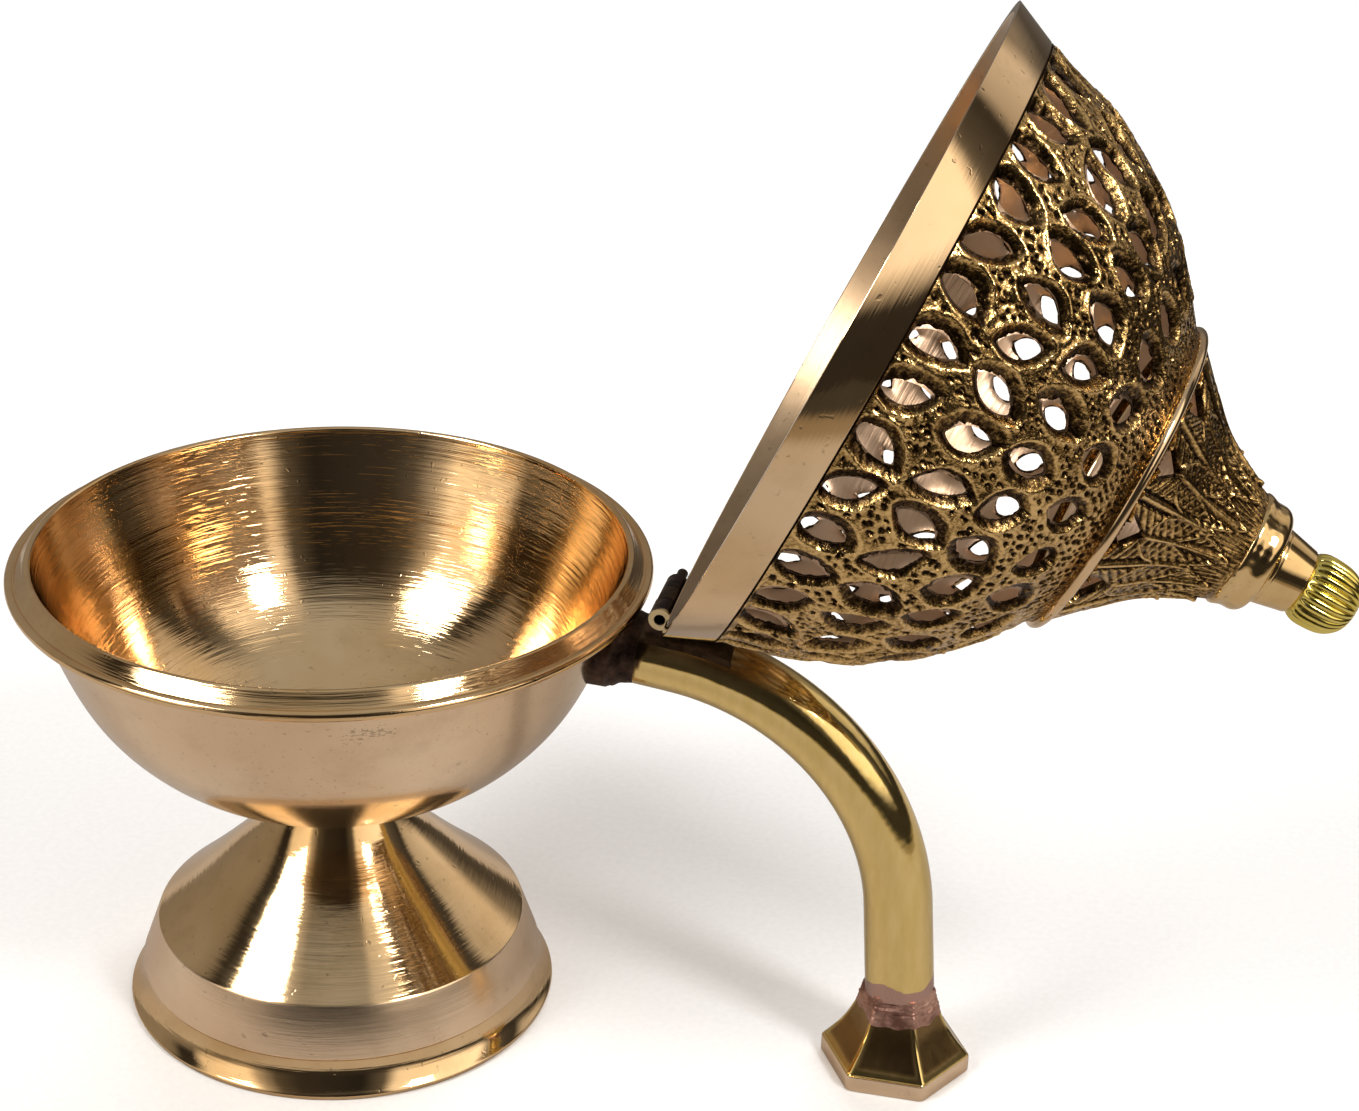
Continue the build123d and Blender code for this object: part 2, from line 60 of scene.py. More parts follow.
# Bowl and pedestal outlines, (radius, height)
BEAD_RADIUS = 0.85
BEAD_HEIGHT = 77.05
LIP_RADIUS = 46.55
BOSS_RADIUS = 10.5
BOSS_HEIGHT = 36.0
BOWL_FLOOR = 41.0
BOWL_SIDE = [(BOSS_RADIUS, 37.0), (17.45, 40.0), (29.5, 47.0), (39.3, 58.0), (44.45, 70.0), (46.7, 75.8)]
BOWL_INSIDE = [(12.0, 41.9), (27.6, 48.3), (37.2, 58.5), (42.3, 70.0), (44.8, 76.0), (45.9, 79.2)]
PEDESTAL_CONE = [(9.8, 35.0), (11.7, 32.0), (17.2, 26.0), (23.4, 20.0), (29.9, 14.2)]
PEDESTAL_HOLLOW = [(31.5, 0.0), (30.6, 5.6), (27.6, 12.8), (21.0, 18.8), (14.6, 24.8), (9.2, 30.6)]
BAND_RADIUS = 32.7
BAND_HEIGHT = 6.2
FOOT_RADIUS = 34.9
STUD_HOLE = 3.1
PEDESTAL_UNDERSIDE = 33.0
FOOT_FLARE = [(BAND_RADIUS + 0.6, 2.9), (FOOT_RADIUS, 0.8)]

# Handle
TUBE_RADIUS = 5.5
TUBE_WALL = 1.0
TUBE_SIDES = 72
HANDLE_ROOT = (44.0, 69.47)
HANDLE_DROOP = radians(6.9)
HANDLE_LEAN = radians(4.5)
BEND_RADIUS = 42.3
BEND_FLATNESS = 0.12  # how much the bend has flattened the tube
BEND_BEGINS = (12, 40)  # lengths along the tube
BEND_ENDS = (58, 86)
TOP_BURN_ENDS = (16, 34)
SMOKE_MIDDLE, SMOKE_REACH = 66, 16
TUBE_END_HEIGHT = 14.2
ROOT_BURN_LENGTH = 6.2  # how far the heat of the brazing has darkened the tube
HEX_CORNER_RADIUS = 12.2
HEX_BAND = 2.75
FOOT_BRAZE_LOW = 10.2

# Lid, heights above its own rim
LID_RIM_HEIGHT = 78.21
LID_OPEN = radians(115)
LID_RADIUS = 51.65
LID_WALL = 1.6
LID_BAND = (48.8, 6.7)
DOME_CURVE = [(48.8, 7.0), (47.3, 12.5), (44.8, 20.0), (40.2, 29.0), (32.7, 38.0), (24.0, 45.0)]
NECK_CURVE = [(23.5, 46.4), (18.6, 51.4), (14.4, 56.0), (11.2, 61.6), (8.4, 68.0)]
RING_RADIUS = 25.1
RING_HEIGHT = 45.7
NECK_TOP_HEIGHT = 71.0
EYE_ROWS = [  # height, number round the dome, first angle, length, width
    (10.8, 40, 0.0, 7.6, 3.7),
    (21.2, 40, 2.0, 7.4, 3.6),
    (30.2, 34, -1.0, 6.4, 3.6),
    (38.6, 25, 2.0, 5.8, 3.6),
]
EYE_REACH = (8, 9)  # how far an eye's scoop may go round the dome and up it
# Each eye's own bend, stretch, widening, scoop and scoop's lean, least and most
EYE_VARIETY = [(-0.08, 0.90, 0.84, 1.15, -0.2), (0.08, 1.08, 1.06, 1.75, 0.55)]
EYE_TILT = 14.0
EYE_SWING = 1.7  # the cast eyes lean further than the plain openings
LEAF_HALF_WIDTH = 6.3
SOLDER_PITCH = 0.72
NECK_LEAVES = 12
NECK_FIRST_GAP = radians(-97.0)
NECK_GAP_HEIGHT = 49.0
NECK_GAP_WIDTH = 6.4
NECK_GAP_LENGTH = 4.6
COLLAR_LENGTH = 5.3
COLLAR_RADII = (6.1, 5.0)
KNOB_LENGTH = 9.1
KNOB_RADIUS = 5.55
KNOB_FLUTES = 26
FLUTE_DEPTH = 0.85

random = np.random.default_rng(11)

STANDING = Matrix.Translation((AXIS_X * MM, 0, 0))
HINGE_LINE = Matrix.Translation(((AXIS_X + HINGE_X) * MM, 0, HINGE_Z * MM))
ON_LID = HINGE_LINE @ Matrix.Rotation(LID_OPEN, 4, "Y") @ Matrix.Translation(
    (-HINGE_X * MM, 0, (LID_RIM_HEIGHT - HINGE_Z) * MM)
)
PLACES = {"burner": STANDING, "lid": ON_LID}


# ---- outlines ----------------------------------------------------------------------------------


def smooth_curve(points, count):
    """A natural cubic spline through points, sampled evenly by its parameter."""
    points = np.array(points, float)
    knots = np.concatenate([[0], np.cumsum(np.linalg.norm(np.diff(points, axis=0), axis=1))])
    step = np.diff(knots)
    size = len(points)
    system = np.eye(size)
    right = np.zeros_like(points)
    for i in range(1, size - 1):
        system[i, i - 1:i + 2] = step[i - 1], 2 * (step[i - 1] + step[i]), step[i]
        rise = (points[i + 1] - points[i]) / step[i] - (points[i] - points[i - 1]) / step[i - 1]
        right[i] = 6 * rise
    bend = np.linalg.solve(system, right)
    at = np.linspace(0, knots[-1], count)
    span = np.clip(np.searchsorted(knots, at, side="right") - 1, 0, size - 2)
    width = step[span][:, None]
    before = (knots[span + 1] - at)[:, None]
    after = (at - knots[span])[:, None]
    return (
        (bend[span] * before**3 + bend[span + 1] * after**3) / (6 * width)
        + (points[span] / width - bend[span] * width / 6) * before
        + (points[span + 1] / width - bend[span + 1] * width / 6) * after
    )


def arc_through(start, middle, end, count=9):
    """Points on the circle through three points."""
    ax, ay, bx, by, cx, cy = *start, *middle, *end
    scale = 2 * (ax * (by - cy) + bx * (cy - ay) + cx * (ay - by))
    a, b, c = ax**2 + ay**2, bx**2 + by**2, cx**2 + cy**2
    centre_x = (a * (by - cy) + b * (cy - ay) + c * (ay - by)) / scale
    centre_y = (a * (cx - bx) + b * (ax - cx) + c * (bx - ax)) / scale
    first, through, last = (atan2(y - centre_y, x - centre_x) for x, y in (start, middle, end))
    sweep = (last - first) % (2 * pi)
    if (through - first) % (2 * pi) > sweep:
        sweep -= 2 * pi
    angles = first + np.linspace(0, sweep, count)
    radius = hypot(ax - centre_x, ay - centre_y)
    return np.stack([centre_x + radius * np.cos(angles), centre_y + radius * np.sin(angles)], 1)


def soften(outline, cut, sharp=radians(22)):
    """Rounds each sharp corner of an outline, cut back by a small distance each way."""
    outline = np.array(outline, float)
    rounded = [outline[0]]
    for before, corner, after in zip(outline, outline[1:], outline[2:]):
        back, ahead = before - corner, after - corner
        back_length, ahead_length = np.linalg.norm(back), np.linalg.norm(ahead)
        turn = pi - np.arccos(np.clip(back @ ahead / (back_length * ahead_length), -1, 1))
        if turn < sharp:
            rounded.append(corner)
            continue
        start = corner + back / back_length * min(cut, back_length * 0.45)
        end = corner + ahead / ahead_length * min(cut, ahead_length * 0.45)
        for t in (0, 0.33, 0.67, 1):
            rounded.append(start * (1 - t) ** 2 + corner * 2 * t * (1 - t) + end * t**2)
    rounded.append(outline[-1])
    return np.array(rounded)


def round_angles(sides):
    """Evenly spaced angles once round."""
    return np.arange(sides) * 2 * pi / sides


def outward_normals(outline):
    """Unit normals to the right of an outline's direction of travel."""
    along = np.gradient(outline, axis=0)
    along /= np.linalg.norm(along, axis=1)[:, None]
    return np.stack([along[:, 1], -along[:, 0]], 1)


def smoothstep(low, high, value):
    """0 below low and 1 above high, with a smooth rise between them."""
    share = np.clip((value - low) / (high - low), 0, 1)
    return share * share * (3 - 2 * share)


# ---- meshes ------------------------------------------------------------------------------------


def turned(outline, sides=TURNED_SIDES, closed=False, shape=None):
    """A mesh turned about Z from an outline. shape(angles, radii, heights) may vary the radius."""
    outline = np.array(outline, float)
    angles = round_angles(sides)
    radii = np.broadcast_to(outline[:, 0][:, None], (len(outline), sides))
    heights = np.broadcast_to(outline[:, 1][:, None], (len(outline), sides))
    if shape:
        radii = shape(angles[None, :], radii, heights)
    grid = np.stack([radii * np.cos(angles), radii * np.sin(angles), heights], 2)
    return grid_faces(grid, closed)


def grid_faces(grid, closed=False):
    """Faces over a grid of rings, wrapped round, with ends on the axis gathered to one point."""
    rings, sides = grid.shape[:2]
    points = grid.reshape(-1, 3)
    faces = []
    for ring in range(rings if closed else rings - 1):
        low, high = ring * sides, ((ring + 1) % rings) * sides
        for side in range(sides):
            after = (side + 1) % sides
            faces.append((low + side, low + after, high + after, high + side))
    if closed:
        return points, faces
    kept = []
    swap = {}
    for ring in (0, rings - 1):
        first = ring * sides
        if np.ptp(points[first:first + sides], axis=0).max() < 1e-6:
            swap.update({first + side: first for side in range(sides)})
    for face in faces:
        corners = list(dict.fromkeys(swap.get(corner, corner) for corner in face))
        if len(corners) > 2:
            kept.append(corners)
    return points, kept


def add_piece(name, points, faces, materials, body, stands_for, marks=None, sharp=35, along_x=0.0):
    """Makes one riding piece from points in millimetres, without the points that no face uses.

    Marks are named values at the points, for the materials. along_x moves it from its body's axis."""
    used = np.unique(np.fromiter((corner for face in faces for corner in face), int))
    renumber = np.zeros(len(points), int)
    renumber[used] = np.arange(len(used))
    own_place = points[used] * MM
    place = np.array(PLACES[body] @ Matrix.Translation((along_x * MM, 0, 0)))
    mesh = bpy.data.meshes.new(name)
    corners = [[int(renumber[corner]) for corner in face] for face in faces]
    mesh.from_pydata(own_place @ place[:3, :3].T + place[:3, 3], [], corners)
    place_mark = mesh.attributes.new("own_place", "FLOAT_VECTOR", "POINT")
    place_mark.data.foreach_set("vector", own_place.astype(np.float32).ravel())
    for material in materials:
        mesh.materials.append(material)
    for mark, values in (marks or {}).items():
        attribute = mesh.attributes.new(mark, "FLOAT", "POINT")
        attribute.data.foreach_set("value", values[used].astype(np.float32))
    mesh.shade_smooth()
    mesh.set_sharp_from_angle(angle=radians(sharp))
    obj = bpy.data.objects.new(name, mesh)
    bpy.context.scene.collection.objects.link(obj)
    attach(obj, body)
    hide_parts(*stands_for)
    return obj


def paint_segments(obj, outline, sides, choose):
    """Gives each turned face a material slot chosen by its segment's radius, height and outward slope."""
    count = len(obj.data.polygons) // sides
    after = np.roll(outline, -1, axis=0)
    middles = ((outline + after) / 2)[:count]
    along = (after - outline)[:count]
    outward = along[:, 1] / (np.linalg.norm(along, axis=1) + 1e-9)
    slots = np.asarray(choose(middles[:, 0], middles[:, 1], outward), np.int32)
    obj.data.polygons.foreach_set("material_index", np.repeat(slots, sides))


def add_turned(name, outline, materials, body, stands_for, choose=None, sides=TURNED_SIDES,
               closed=False, shape=None):
    """A turned piece. choose(radius, height, outward) may give its segments different materials."""
    points, faces = turned(outline, sides, closed, shape)
    obj = add_piece(name, points, faces, materials, body, stands_for)
    if choose:
        paint_segments(obj, outline, sides, choose)


def blurred(field, reach):
    """A field round the axis averaged over a square, wrapping along its first axis only."""
    for axis in (0, 1):
        pad = [(0, 0), (0, 0)]
        pad[axis] = (reach, reach)
        padded = np.pad(field, pad, mode="wrap" if axis == 0 else "edge")
        total = np.cumsum(padded, axis=axis)
        width = 2 * reach + 1
        ends = np.take(total, range(width - 1, total.shape[axis]), axis=axis)
        starts = np.take(total, range(0, total.shape[axis] - width), axis=axis)
        zero = np.zeros_like(np.take(total, [0], axis=axis))
        field = (ends - np.concatenate([zero, starts], axis=axis)) / width
    return field


def snapped_to_edges(fields, metal):
    """Points beside a hole's edge moved on to it, and each point's state: 1 metal, 0 edge, -1 hole."""
    moved = fields.copy()
    nearest = np.full(metal.shape, np.inf)
    for axis in (0, 1):
        for shift in (-1, 1):
            other = np.roll(metal, shift, axis)
            crossing = (metal > 0) != (other > 0)
            if axis == 1:
                crossing[:, 0 if shift == 1 else -1] = False
            share = np.where(crossing, metal / np.where(crossing, metal - other, 1), 1)
            take = crossing & (share <= 0.5) & (share < nearest)
            nearest[take] = share[take]
            target = np.roll(fields, shift, axis)
            moved[take] = fields[take] + (target[take] - fields[take]) * share[take][:, None]
    state = np.where(np.isfinite(nearest), 0, np.sign(metal)).astype(int)
    return moved, state


def metal_triangles(state, metal):
    """Triangles over a grid wrapped along its first axis, where there is metal."""
    sides, rows = metal.shape
    state, metal = state.ravel(), metal.ravel()
    side, row = np.meshgrid(np.arange(sides), np.arange(rows - 1), indexing="ij")
    after = (side + 1) % sides
    a, b = (side * rows + row).ravel(), (after * rows + row).ravel()
    c, d = b + 1, a + 1
    swap = state[a] * state[c] == -1
    first = np.where(swap[:, None], np.stack([a, b, d], 1), np.stack([a, b, c], 1))
    second = np.where(swap[:, None], np.stack([b, c, d], 1), np.stack([a, c, d], 1))
    faces = np.concatenate([first, second])
    corners = state[faces]
    on_edge = (corners == 0).all(1)
    inside = metal[faces].mean(1) > 0
    return faces[(corners >= 0).all(1) & (~on_edge | inside)]


def pierced_shell(outer, inner, metal, polish):
    """A closed wall between two grids of points, without the stretches where metal is negative."""
    moved, state = snapped_to_edges(np.concatenate([outer, inner, polish[..., None]], 2), metal)
    faces = metal_triangles(state, metal)
    edges = np.concatenate([faces[:, [0, 1]], faces[:, [1, 2]], faces[:, [2, 0]]])
    size = metal.size
    forward, backward = edges[:, 0] * size + edges[:, 1], edges[:, 1] * size + edges[:, 0]
    border = edges[~np.isin(forward, backward)]
    walls = np.concatenate([
        np.stack([border[:, 1], border[:, 0], border[:, 0] + size], 1),
        np.stack([border[:, 1], border[:, 0] + size, border[:, 1] + size], 1),
    ])
    points = np.concatenate([moved[..., :3].reshape(-1, 3), moved[..., 3:6].reshape(-1, 3)])
    everything = np.concatenate([faces, faces[:, ::-1] + size, walls])
    marks = np.concatenate([moved[..., 6].ravel(), np.zeros(size)])
    inner_faces = slice(len(faces), 2 * len(faces))
    return points, everything, marks, inner_faces


# ---- materials ---------------------------------------------------------------------------------


class Nodes:
    """Builds one node tree, a node at a time."""

    def __init__(self, tree):
        self.tree = tree

    def connect(self, value, socket):
        """Links a socket, or sets its own value. A colour may come without its alpha."""
        if isinstance(value, bpy.types.NodeSocket):
            self.tree.links.new(value, socket)
        elif socket.type == "RGBA" and len(value) == 3:
            socket.default_value = (*value, 1)
        else:
            socket.default_value = value

    def add(self, kind, inputs=None, **settings):
        node = self.tree.nodes.new(kind)
        for key, value in settings.items():
            setattr(node, key, value)
        for key, value in (inputs or {}).items():
            self.connect(value, node.inputs[key])
        return node

    def math(self, operation, first, second=0.0):
        return self.add("ShaderNodeMath", {0: first, 1: second}, operation=operation).outputs[0]

    def plus(self, base, value, share):
        """The base with a share of the value added."""
        return self.math("ADD", base, self.math("MULTIPLY", value, share))

    def plus_around(self, base, value, share):
        """The base with a share of a value that lies round a half added, so that the mean stays."""
        return self.plus(base, self.math("SUBTRACT", value, 0.5), share)

    def length(self, vector):
        return self.add("ShaderNodeVectorMath", {0: vector}, operation="LENGTH").outputs["Value"]

    def ramp(self, value, *stops):
        """A colour or grey ramp; each stop is (position, colour or grey)."""
        node = self.add("ShaderNodeValToRGB", {0: value})
        band = node.color_ramp
        while len(band.elements) < len(stops):
            band.elements.new(0.5)
        for element, (position, colour) in zip(band.elements, stops):
            element.position = position
            element.color = (*colour, 1) if isinstance(colour, tuple) else (colour, colour, colour, 1)
        return node.outputs[0]

    def mix(self, share, first, second, blend_type="MIX"):
        inputs = {0: share, 6: first, 7: second}
        return self.add("ShaderNodeMix", inputs, data_type="RGBA", blend_type=blend_type).outputs[2]


FLAW_SHAPE = (1.0, 1.0, 2.4)  # the cluster of pits is wider than it is high
FLAW_REACH = 6.5
BOWL_FLAW = (19.0, -40.5, 71.6)


class Finish(Nodes):
    """One procedural material, built node by node."""

    def __init__(self, name, metallic=1.0, own_axis=True):
        self.material = bpy.data.materials.new(name)
        self.material.use_nodes = True
        super().__init__(self.material.node_tree)
        self.shader = self.tree.nodes["Principled BSDF"]
        self.shader.inputs["Metallic"].default_value = metallic
        if own_axis:
            self.place = self.add("ShaderNodeAttribute", attribute_name="own_place").outputs["Vector"]
        else:
            self.place = self.add("ShaderNodeTexCoord").outputs["Object"]
        self.last_bump = None

    def noise(self, scale, detail=2.0, roughness=0.5, stretch=(1, 1, 1), offset=(0, 0, 0)):
        """Noise over the object, stretched by dividing its scale along each axis."""
        mapping = self.add("ShaderNodeMapping", {
            "Vector": self.place, "Scale": stretch, "Location": offset,
        })
        node = self.add("ShaderNodeTexNoise", {
            "Vector": mapping.outputs[0], "Scale": scale, "Detail": detail, "Roughness": roughness,
        })
        return node.outputs["Fac"]

    def round_axis(self, fine, slow):
        """Noise that changes quickly across the turning lines and slowly round the Z axis."""
        x, y, z = self.add("ShaderNodeSeparateXYZ", {0: self.place}).outputs
        flat = self.add("ShaderNodeCombineXYZ", {0: x, 1: y}).outputs[0]
        way = self.add("ShaderNodeVectorMath", {0: flat}, operation="NORMALIZE").outputs[0]
        way_x, way_y, _ = self.add("ShaderNodeSeparateXYZ", {0: way}).outputs
        across = self.add("ShaderNodeCombineXYZ", {
            0: self.math("MULTIPLY", self.length(flat), fine),
            1: self.math("MULTIPLY", z, fine),
            2: self.math("MULTIPLY", way_x, slow),
        })
        node = self.add("ShaderNodeTexNoise", {
            "Vector": across.outputs[0], "W": self.math("MULTIPLY", way_y, slow),
            "Scale": 1.0, "Detail": 3.0, "Roughness": 0.6,
        }, noise_dimensions="4D")
        return node.outputs["Fac"]

    def flaw_pits(self, place_mm):
        """A wide, shallow cluster of small dark pits: 1 where the metal is sound."""
        shift = [-centre * MM * scale for centre, scale in zip(place_mm, FLAW_SHAPE)]
        away = self.add("ShaderNodeMapping", {
            "Vector": self.place, "Location": shift, "Scale": FLAW_SHAPE,
        })
        distance = self.math("MULTIPLY", self.length(away.outputs[0]), 1 / (FLAW_REACH * MM))
        near = self.ramp(distance, (0.25, 0.18), (1.0, 0.0))
        grains = self.math("ADD", self.noise(2600, 2, 0.5, stretch=(0.6, 0.6, 1)), near)
        return self.ramp(grains, (0.66, 1.0), (0.76, 0.25))

    def mark(self, name):
        return self.add("ShaderNodeAttribute", attribute_name=name).outputs["Fac"]

    def bump(self, height, depth_mm, strength=1.0):
        inputs = {"Height": height, "Distance": depth_mm * MM, "Strength": strength}
        if self.last_bump:
            inputs["Normal"] = self.last_bump
        self.last_bump = self.add("ShaderNodeBump", inputs).outputs[0]

    def finish(self, colour, roughness):
        self.tree.links.new(colour, self.shader.inputs["Base Color"])
        self.tree.links.new(roughness, self.shader.inputs["Roughness"])
        if self.last_bump:
            self.tree.links.new(self.last_bump, self.shader.inputs["Normal"])
        return self.material


def polished_brass(name, light, deep, gloss, lines_mm, waviness_mm, flaw=None):
    """Turned brass: fine turning lines, slow waviness, a few pits and a thin uneven tarnish.

    A flaw is a place, in millimetres, round which the casting shows a cluster of pits."""
    f = Finish(name)
    cloud = f.noise(38, 3, 0.55)
    stain = f.noise(120, 4, 0.65, offset=(3, 1, 7))
    colour = f.ramp(cloud, (0.3, deep), (0.62, light))
    spots = f.ramp(f.noise(900, 1, 0.4), (0.70, 1.0), (0.78, 0.55))
    if flaw:
        spots = f.math("MINIMUM", spots, f.flaw_pits(flaw))
    colour = f.mix(f.ramp(stain, (0.52, 0.0), (0.78, 0.45)), colour, tuple(c * 0.72 for c in deep))
    colour = f.mix(0.5, colour, spots, "MULTIPLY")
    lines = f.round_axis(2600, 2.5)
    rings = f.round_axis(1000, 1.4)
    rough = f.plus(f.plus(gloss - 0.05, lines, 0.10), stain, 0.06)
    f.bump(rings, lines_mm * 2.2)
    f.bump(lines, lines_mm)
    f.bump(cloud, waviness_mm)
    f.bump(spots, 0.02)
    return f.finish(colour, rough)


def cast_brass(name, grain_mm, lumps_mm):
    """Cast relief: golden and bright on the rubbed parts, dark, granular and glittering in the hollows."""
    f = Finish(name)
    grain = f.noise(1900, 3, 0.7)
    cloud = f.noise(110, 3, 0.6)
    rub = f.plus_around(f.plus_around(f.mark("polish"), grain, 1.3), cloud, 0.5)
    colour = f.ramp(rub, (0.16, (0.024, 0.013, 0.006)), (0.36, (0.11, 0.066, 0.026)),
                    (0.54, (0.37, 0.23, 0.078)), (0.78, (0.80, 0.55, 0.23)))
    rough = f.ramp(rub, (0.15, 0.30), (0.45, 0.16), (0.75, 0.09))
    f.bump(grain, grain_mm)
    f.bump(f.noise(620, 3, 0.6), lumps_mm)
    return f.finish(colour, rough)


def inside_brass(name):
    """The lid's inside: brass scraped round the axis, dull and rather pink."""
    f = Finish(name)
    lines = f.round_axis(1500, 3)
    cloud = f.noise(60, 3, 0.6)
    colour = f.ramp(cloud, (0.3, (0.36, 0.24, 0.15)), (0.68, (0.56, 0.39, 0.27)))
    rough = f.plus(0.24, lines, 0.25)
    f.bump(lines, 0.10)
    return f.finish(colour, rough)


def yellow_brass(name, gloss, deep, light):
    """Drawn brass, darkened where the burn mark is high: smoky tarnish from burns on the tube, painted
    shade on the foot's front facets; a copper blush where 'copper' is.
    """
    f = Finish(name)
    cloud = f.noise(55, 4, 0.6)
    fine = f.noise(700, 3, 0.6, stretch=(1, 1, 0.25))
    burn_and_painted_shade = f.plus_around(f.mark("burn_and_painted_shade"), cloud, 0.5)
    clean = f.ramp(fine, (0.35, deep), (0.65, light))
    # The same dark ramp gives the tube's burns and smoke, and the painted shade on the foot's front facets.
    smoke_and_shade = f.ramp(burn_and_painted_shade, (0.15, (0.76, 0.56, 0.25)), (0.45, (0.40, 0.26, 0.10)),
                   (0.70, (0.12, 0.075, 0.035)), (0.95, (0.03, 0.02, 0.015)))
    share = f.ramp(burn_and_painted_shade, (0.10, 0.0), (0.35, 1.0))
    copper = f.ramp(f.plus_around(f.mark("copper"), cloud, 0.8), (0.45, 0.0), (0.55, 1.0))
    colour = f.mix(share, clean, smoke_and_shade)
    colour = f.mix(copper, colour, (0.52, 0.33, 0.27))
    rough = f.plus(f.plus(f.plus(gloss, fine, 0.06), share, 0.14), copper, 0.18)
    f.bump(fine, 0.010)
    f.bump(cloud, 0.20)
    return f.finish(colour, rough)


def scorched(name, dark, light, gloss):
    """Dark, blotchy metal for the burnt and oxidised pieces and the near-black groove, with bright spots
    where it has been rubbed.
    """
    f = Finish(name, own_axis=False)
    blotch = f.noise(260, 4, 0.65)
    fine = f.noise(1800, 3, 0.6, offset=(2, 5, 1))
    colour = f.ramp(blotch, (0.35, dark), (0.62, light), (0.80, tuple(min(c * 1.6, 0.9) for c in light)))
    rough = f.ramp(blotch, (0.3, gloss + 0.2), (0.7, gloss))
    f.bump(blotch, 0.25)
    f.bump(fine, 0.05)
    return f.finish(colour, rough)


def knuckle_brass(name):
    """Heat-darkened hinge metal, left pale and brassy at its near end, less than a millimetre long."""
    f = Finish(name, own_axis=False)
    blotch = f.noise(420, 3, 0.6)
    y = f.add("ShaderNodeSeparateXYZ", {0: f.place}).outputs[1]
    reach = f.plus(f.math("MULTIPLY", y, 1 / MM), blotch, 1.6)
    clean = f.ramp(f.math("MULTIPLY", reach, -0.1), (0.49, 0.0), (0.53, 1.0))
    dark = f.ramp(blotch, (0.35, (0.016, 0.008, 0.008)), (0.62, (0.040, 0.019, 0.015)),
                  (0.76, (0.22, 0.14, 0.08)))
    colour = f.mix(clean, dark, (0.74, 0.60, 0.34))
    f.bump(blotch, 0.14)
    return f.finish(colour, f.ramp(blotch, (0.3, 0.42), (0.7, 0.28)))


def plain_brass(name):
    """Bought nuts, studs and washers: satin brass with brush lines and a little tarnish."""
    f = Finish(name, own_axis=False)
    brush = f.noise(600, 3, 0.6, stretch=(1, 1, 6))
    cloud = f.noise(150, 3, 0.6)
    colour = f.ramp(cloud, (0.35, (0.50, 0.34, 0.15)), (0.65, (0.74, 0.56, 0.28)))
    rough = f.plus(0.2, brush, 0.25)
    f.bump(brush, 0.03)
    return f.finish(colour, rough)


PALE_FLOOR_MIDDLE = (-0.12, 0.10, 0.0)  # metres; the floor's painted reflection in the metal is palest round this place


def floor_paper():
    """Pale studio paper with a faint tooth. The metal mirrors it as a painted reflection, less bright, and
    darker further out.
    """
    f = Finish("studio_paper", metallic=0.0, own_axis=False)
    grain = f.noise(900, 2, 0.5)
    colour = f.ramp(grain, (0.3, (0.86, 0.86, 0.86)), (0.7, (0.90, 0.90, 0.90)))
    # Painted reflection: rays from the metal see a dimmer floor, golden further out and dark beyond.
    is_mirrored = f.add("ShaderNodeLightPath").outputs["Is Glossy Ray"]
    from_middle = f.add("ShaderNodeVectorMath", {0: f.place, 1: PALE_FLOOR_MIDDLE}, operation="SUBTRACT")
    painted_floor_reflection = f.ramp(
        f.length(from_middle.outputs[0]), (0.40, (0.40, 0.37, 0.35)), (0.44, (0.22, 0.18, 0.13)),
        (0.49, (0.20, 0.16, 0.11)), (0.53, (0.02, 0.018, 0.014)),
    )
    colour = f.mix(is_mirrored, colour, painted_floor_reflection)
    return f.finish(colour, f.ramp(grain, (0.0, 0.85), (1.0, 0.95)))


# Light and deep colour, roughness, depth of the turning lines, depth of the waviness
BOWL_BRASS = polished_brass("bowl_brass", (0.91, 0.67, 0.39), (0.79, 0.52, 0.24), 0.030, 0.046, 0.10)
OUTSIDE_BRASS = polished_brass(
    "bowl_outside_brass", (0.97, 0.77, 0.53), (0.90, 0.66, 0.42), 0.11, 0.008, 0.14, flaw=BOWL_FLAW
)
SATIN_BRASS = polished_brass("satin_brass", (0.97, 0.76, 0.53), (0.88, 0.64, 0.42), 0.22, 0.010, 0.12)
PEDESTAL_BRASS = polished_brass(
    "pedestal_brass", (0.90, 0.67, 0.39), (0.76, 0.51, 0.24), 0.045, 0.014, 0.10
)
BAND_BRASS = polished_brass("band_brass", (0.88, 0.66, 0.41), (0.76, 0.53, 0.28), 0.042, 0.008, 0.12)
BAND_INSIDE_BRASS = polished_brass(
    "band_inside_brass", (0.44, 0.32, 0.20), (0.32, 0.22, 0.13), 0.30, 0.02, 0.25
)
COLLAR_BRASS = polished_brass("collar_brass", (0.82, 0.60, 0.30), (0.68, 0.46, 0.19), 0.05, 0.004, 0.05)
CAST_BRASS = cast_brass("cast_brass", 0.08, 0.22)
CARVED_BRASS = cast_brass("carved_brass", 0.07, 0.12)
INSIDE_BRASS = inside_brass("lid_inside_brass")
TUBE_BRASS = yellow_brass("tube_brass", 0.07, (0.82, 0.62, 0.23), (0.90, 0.69, 0.29))
KNOB_BRASS = yellow_brass("knob_brass", 0.12, (0.74, 0.60, 0.12), (0.84, 0.70, 0.20))
BURNT_BRASS = scorched("burnt_brass", (0.010, 0.006, 0.005), (0.06, 0.035, 0.018), 0.34)
KNUCKLE_BRASS = knuckle_brass("knuckle_brass")
BEAD_BRASS = scorched("bead_brass", (0.30, 0.20, 0.10), (0.78, 0.60, 0.36), 0.22)
BURNT_BRAZE = scorched("burnt_braze", (0.015, 0.01, 0.01), (0.09, 0.055, 0.04), 0.45)
# The groove above the lid band is coloured near-black.
GROOVE_DARK = scorched("groove_dark", (0.02, 0.012, 0.008), (0.07, 0.04, 0.02), 0.5)
COPPER_BRAZE = scorched("copper_braze", (0.20, 0.10, 0.075), (0.62, 0.37, 0.29), 0.32)
PLAIN_BRASS = plain_brass("plain_brass")


# ---- bowl and pedestal -------------------------------------------------------------------------


def bowl_side():
    """The bowl's outside from its boss to the bead."""
    return smooth_curve(BOWL_SIDE, 90)


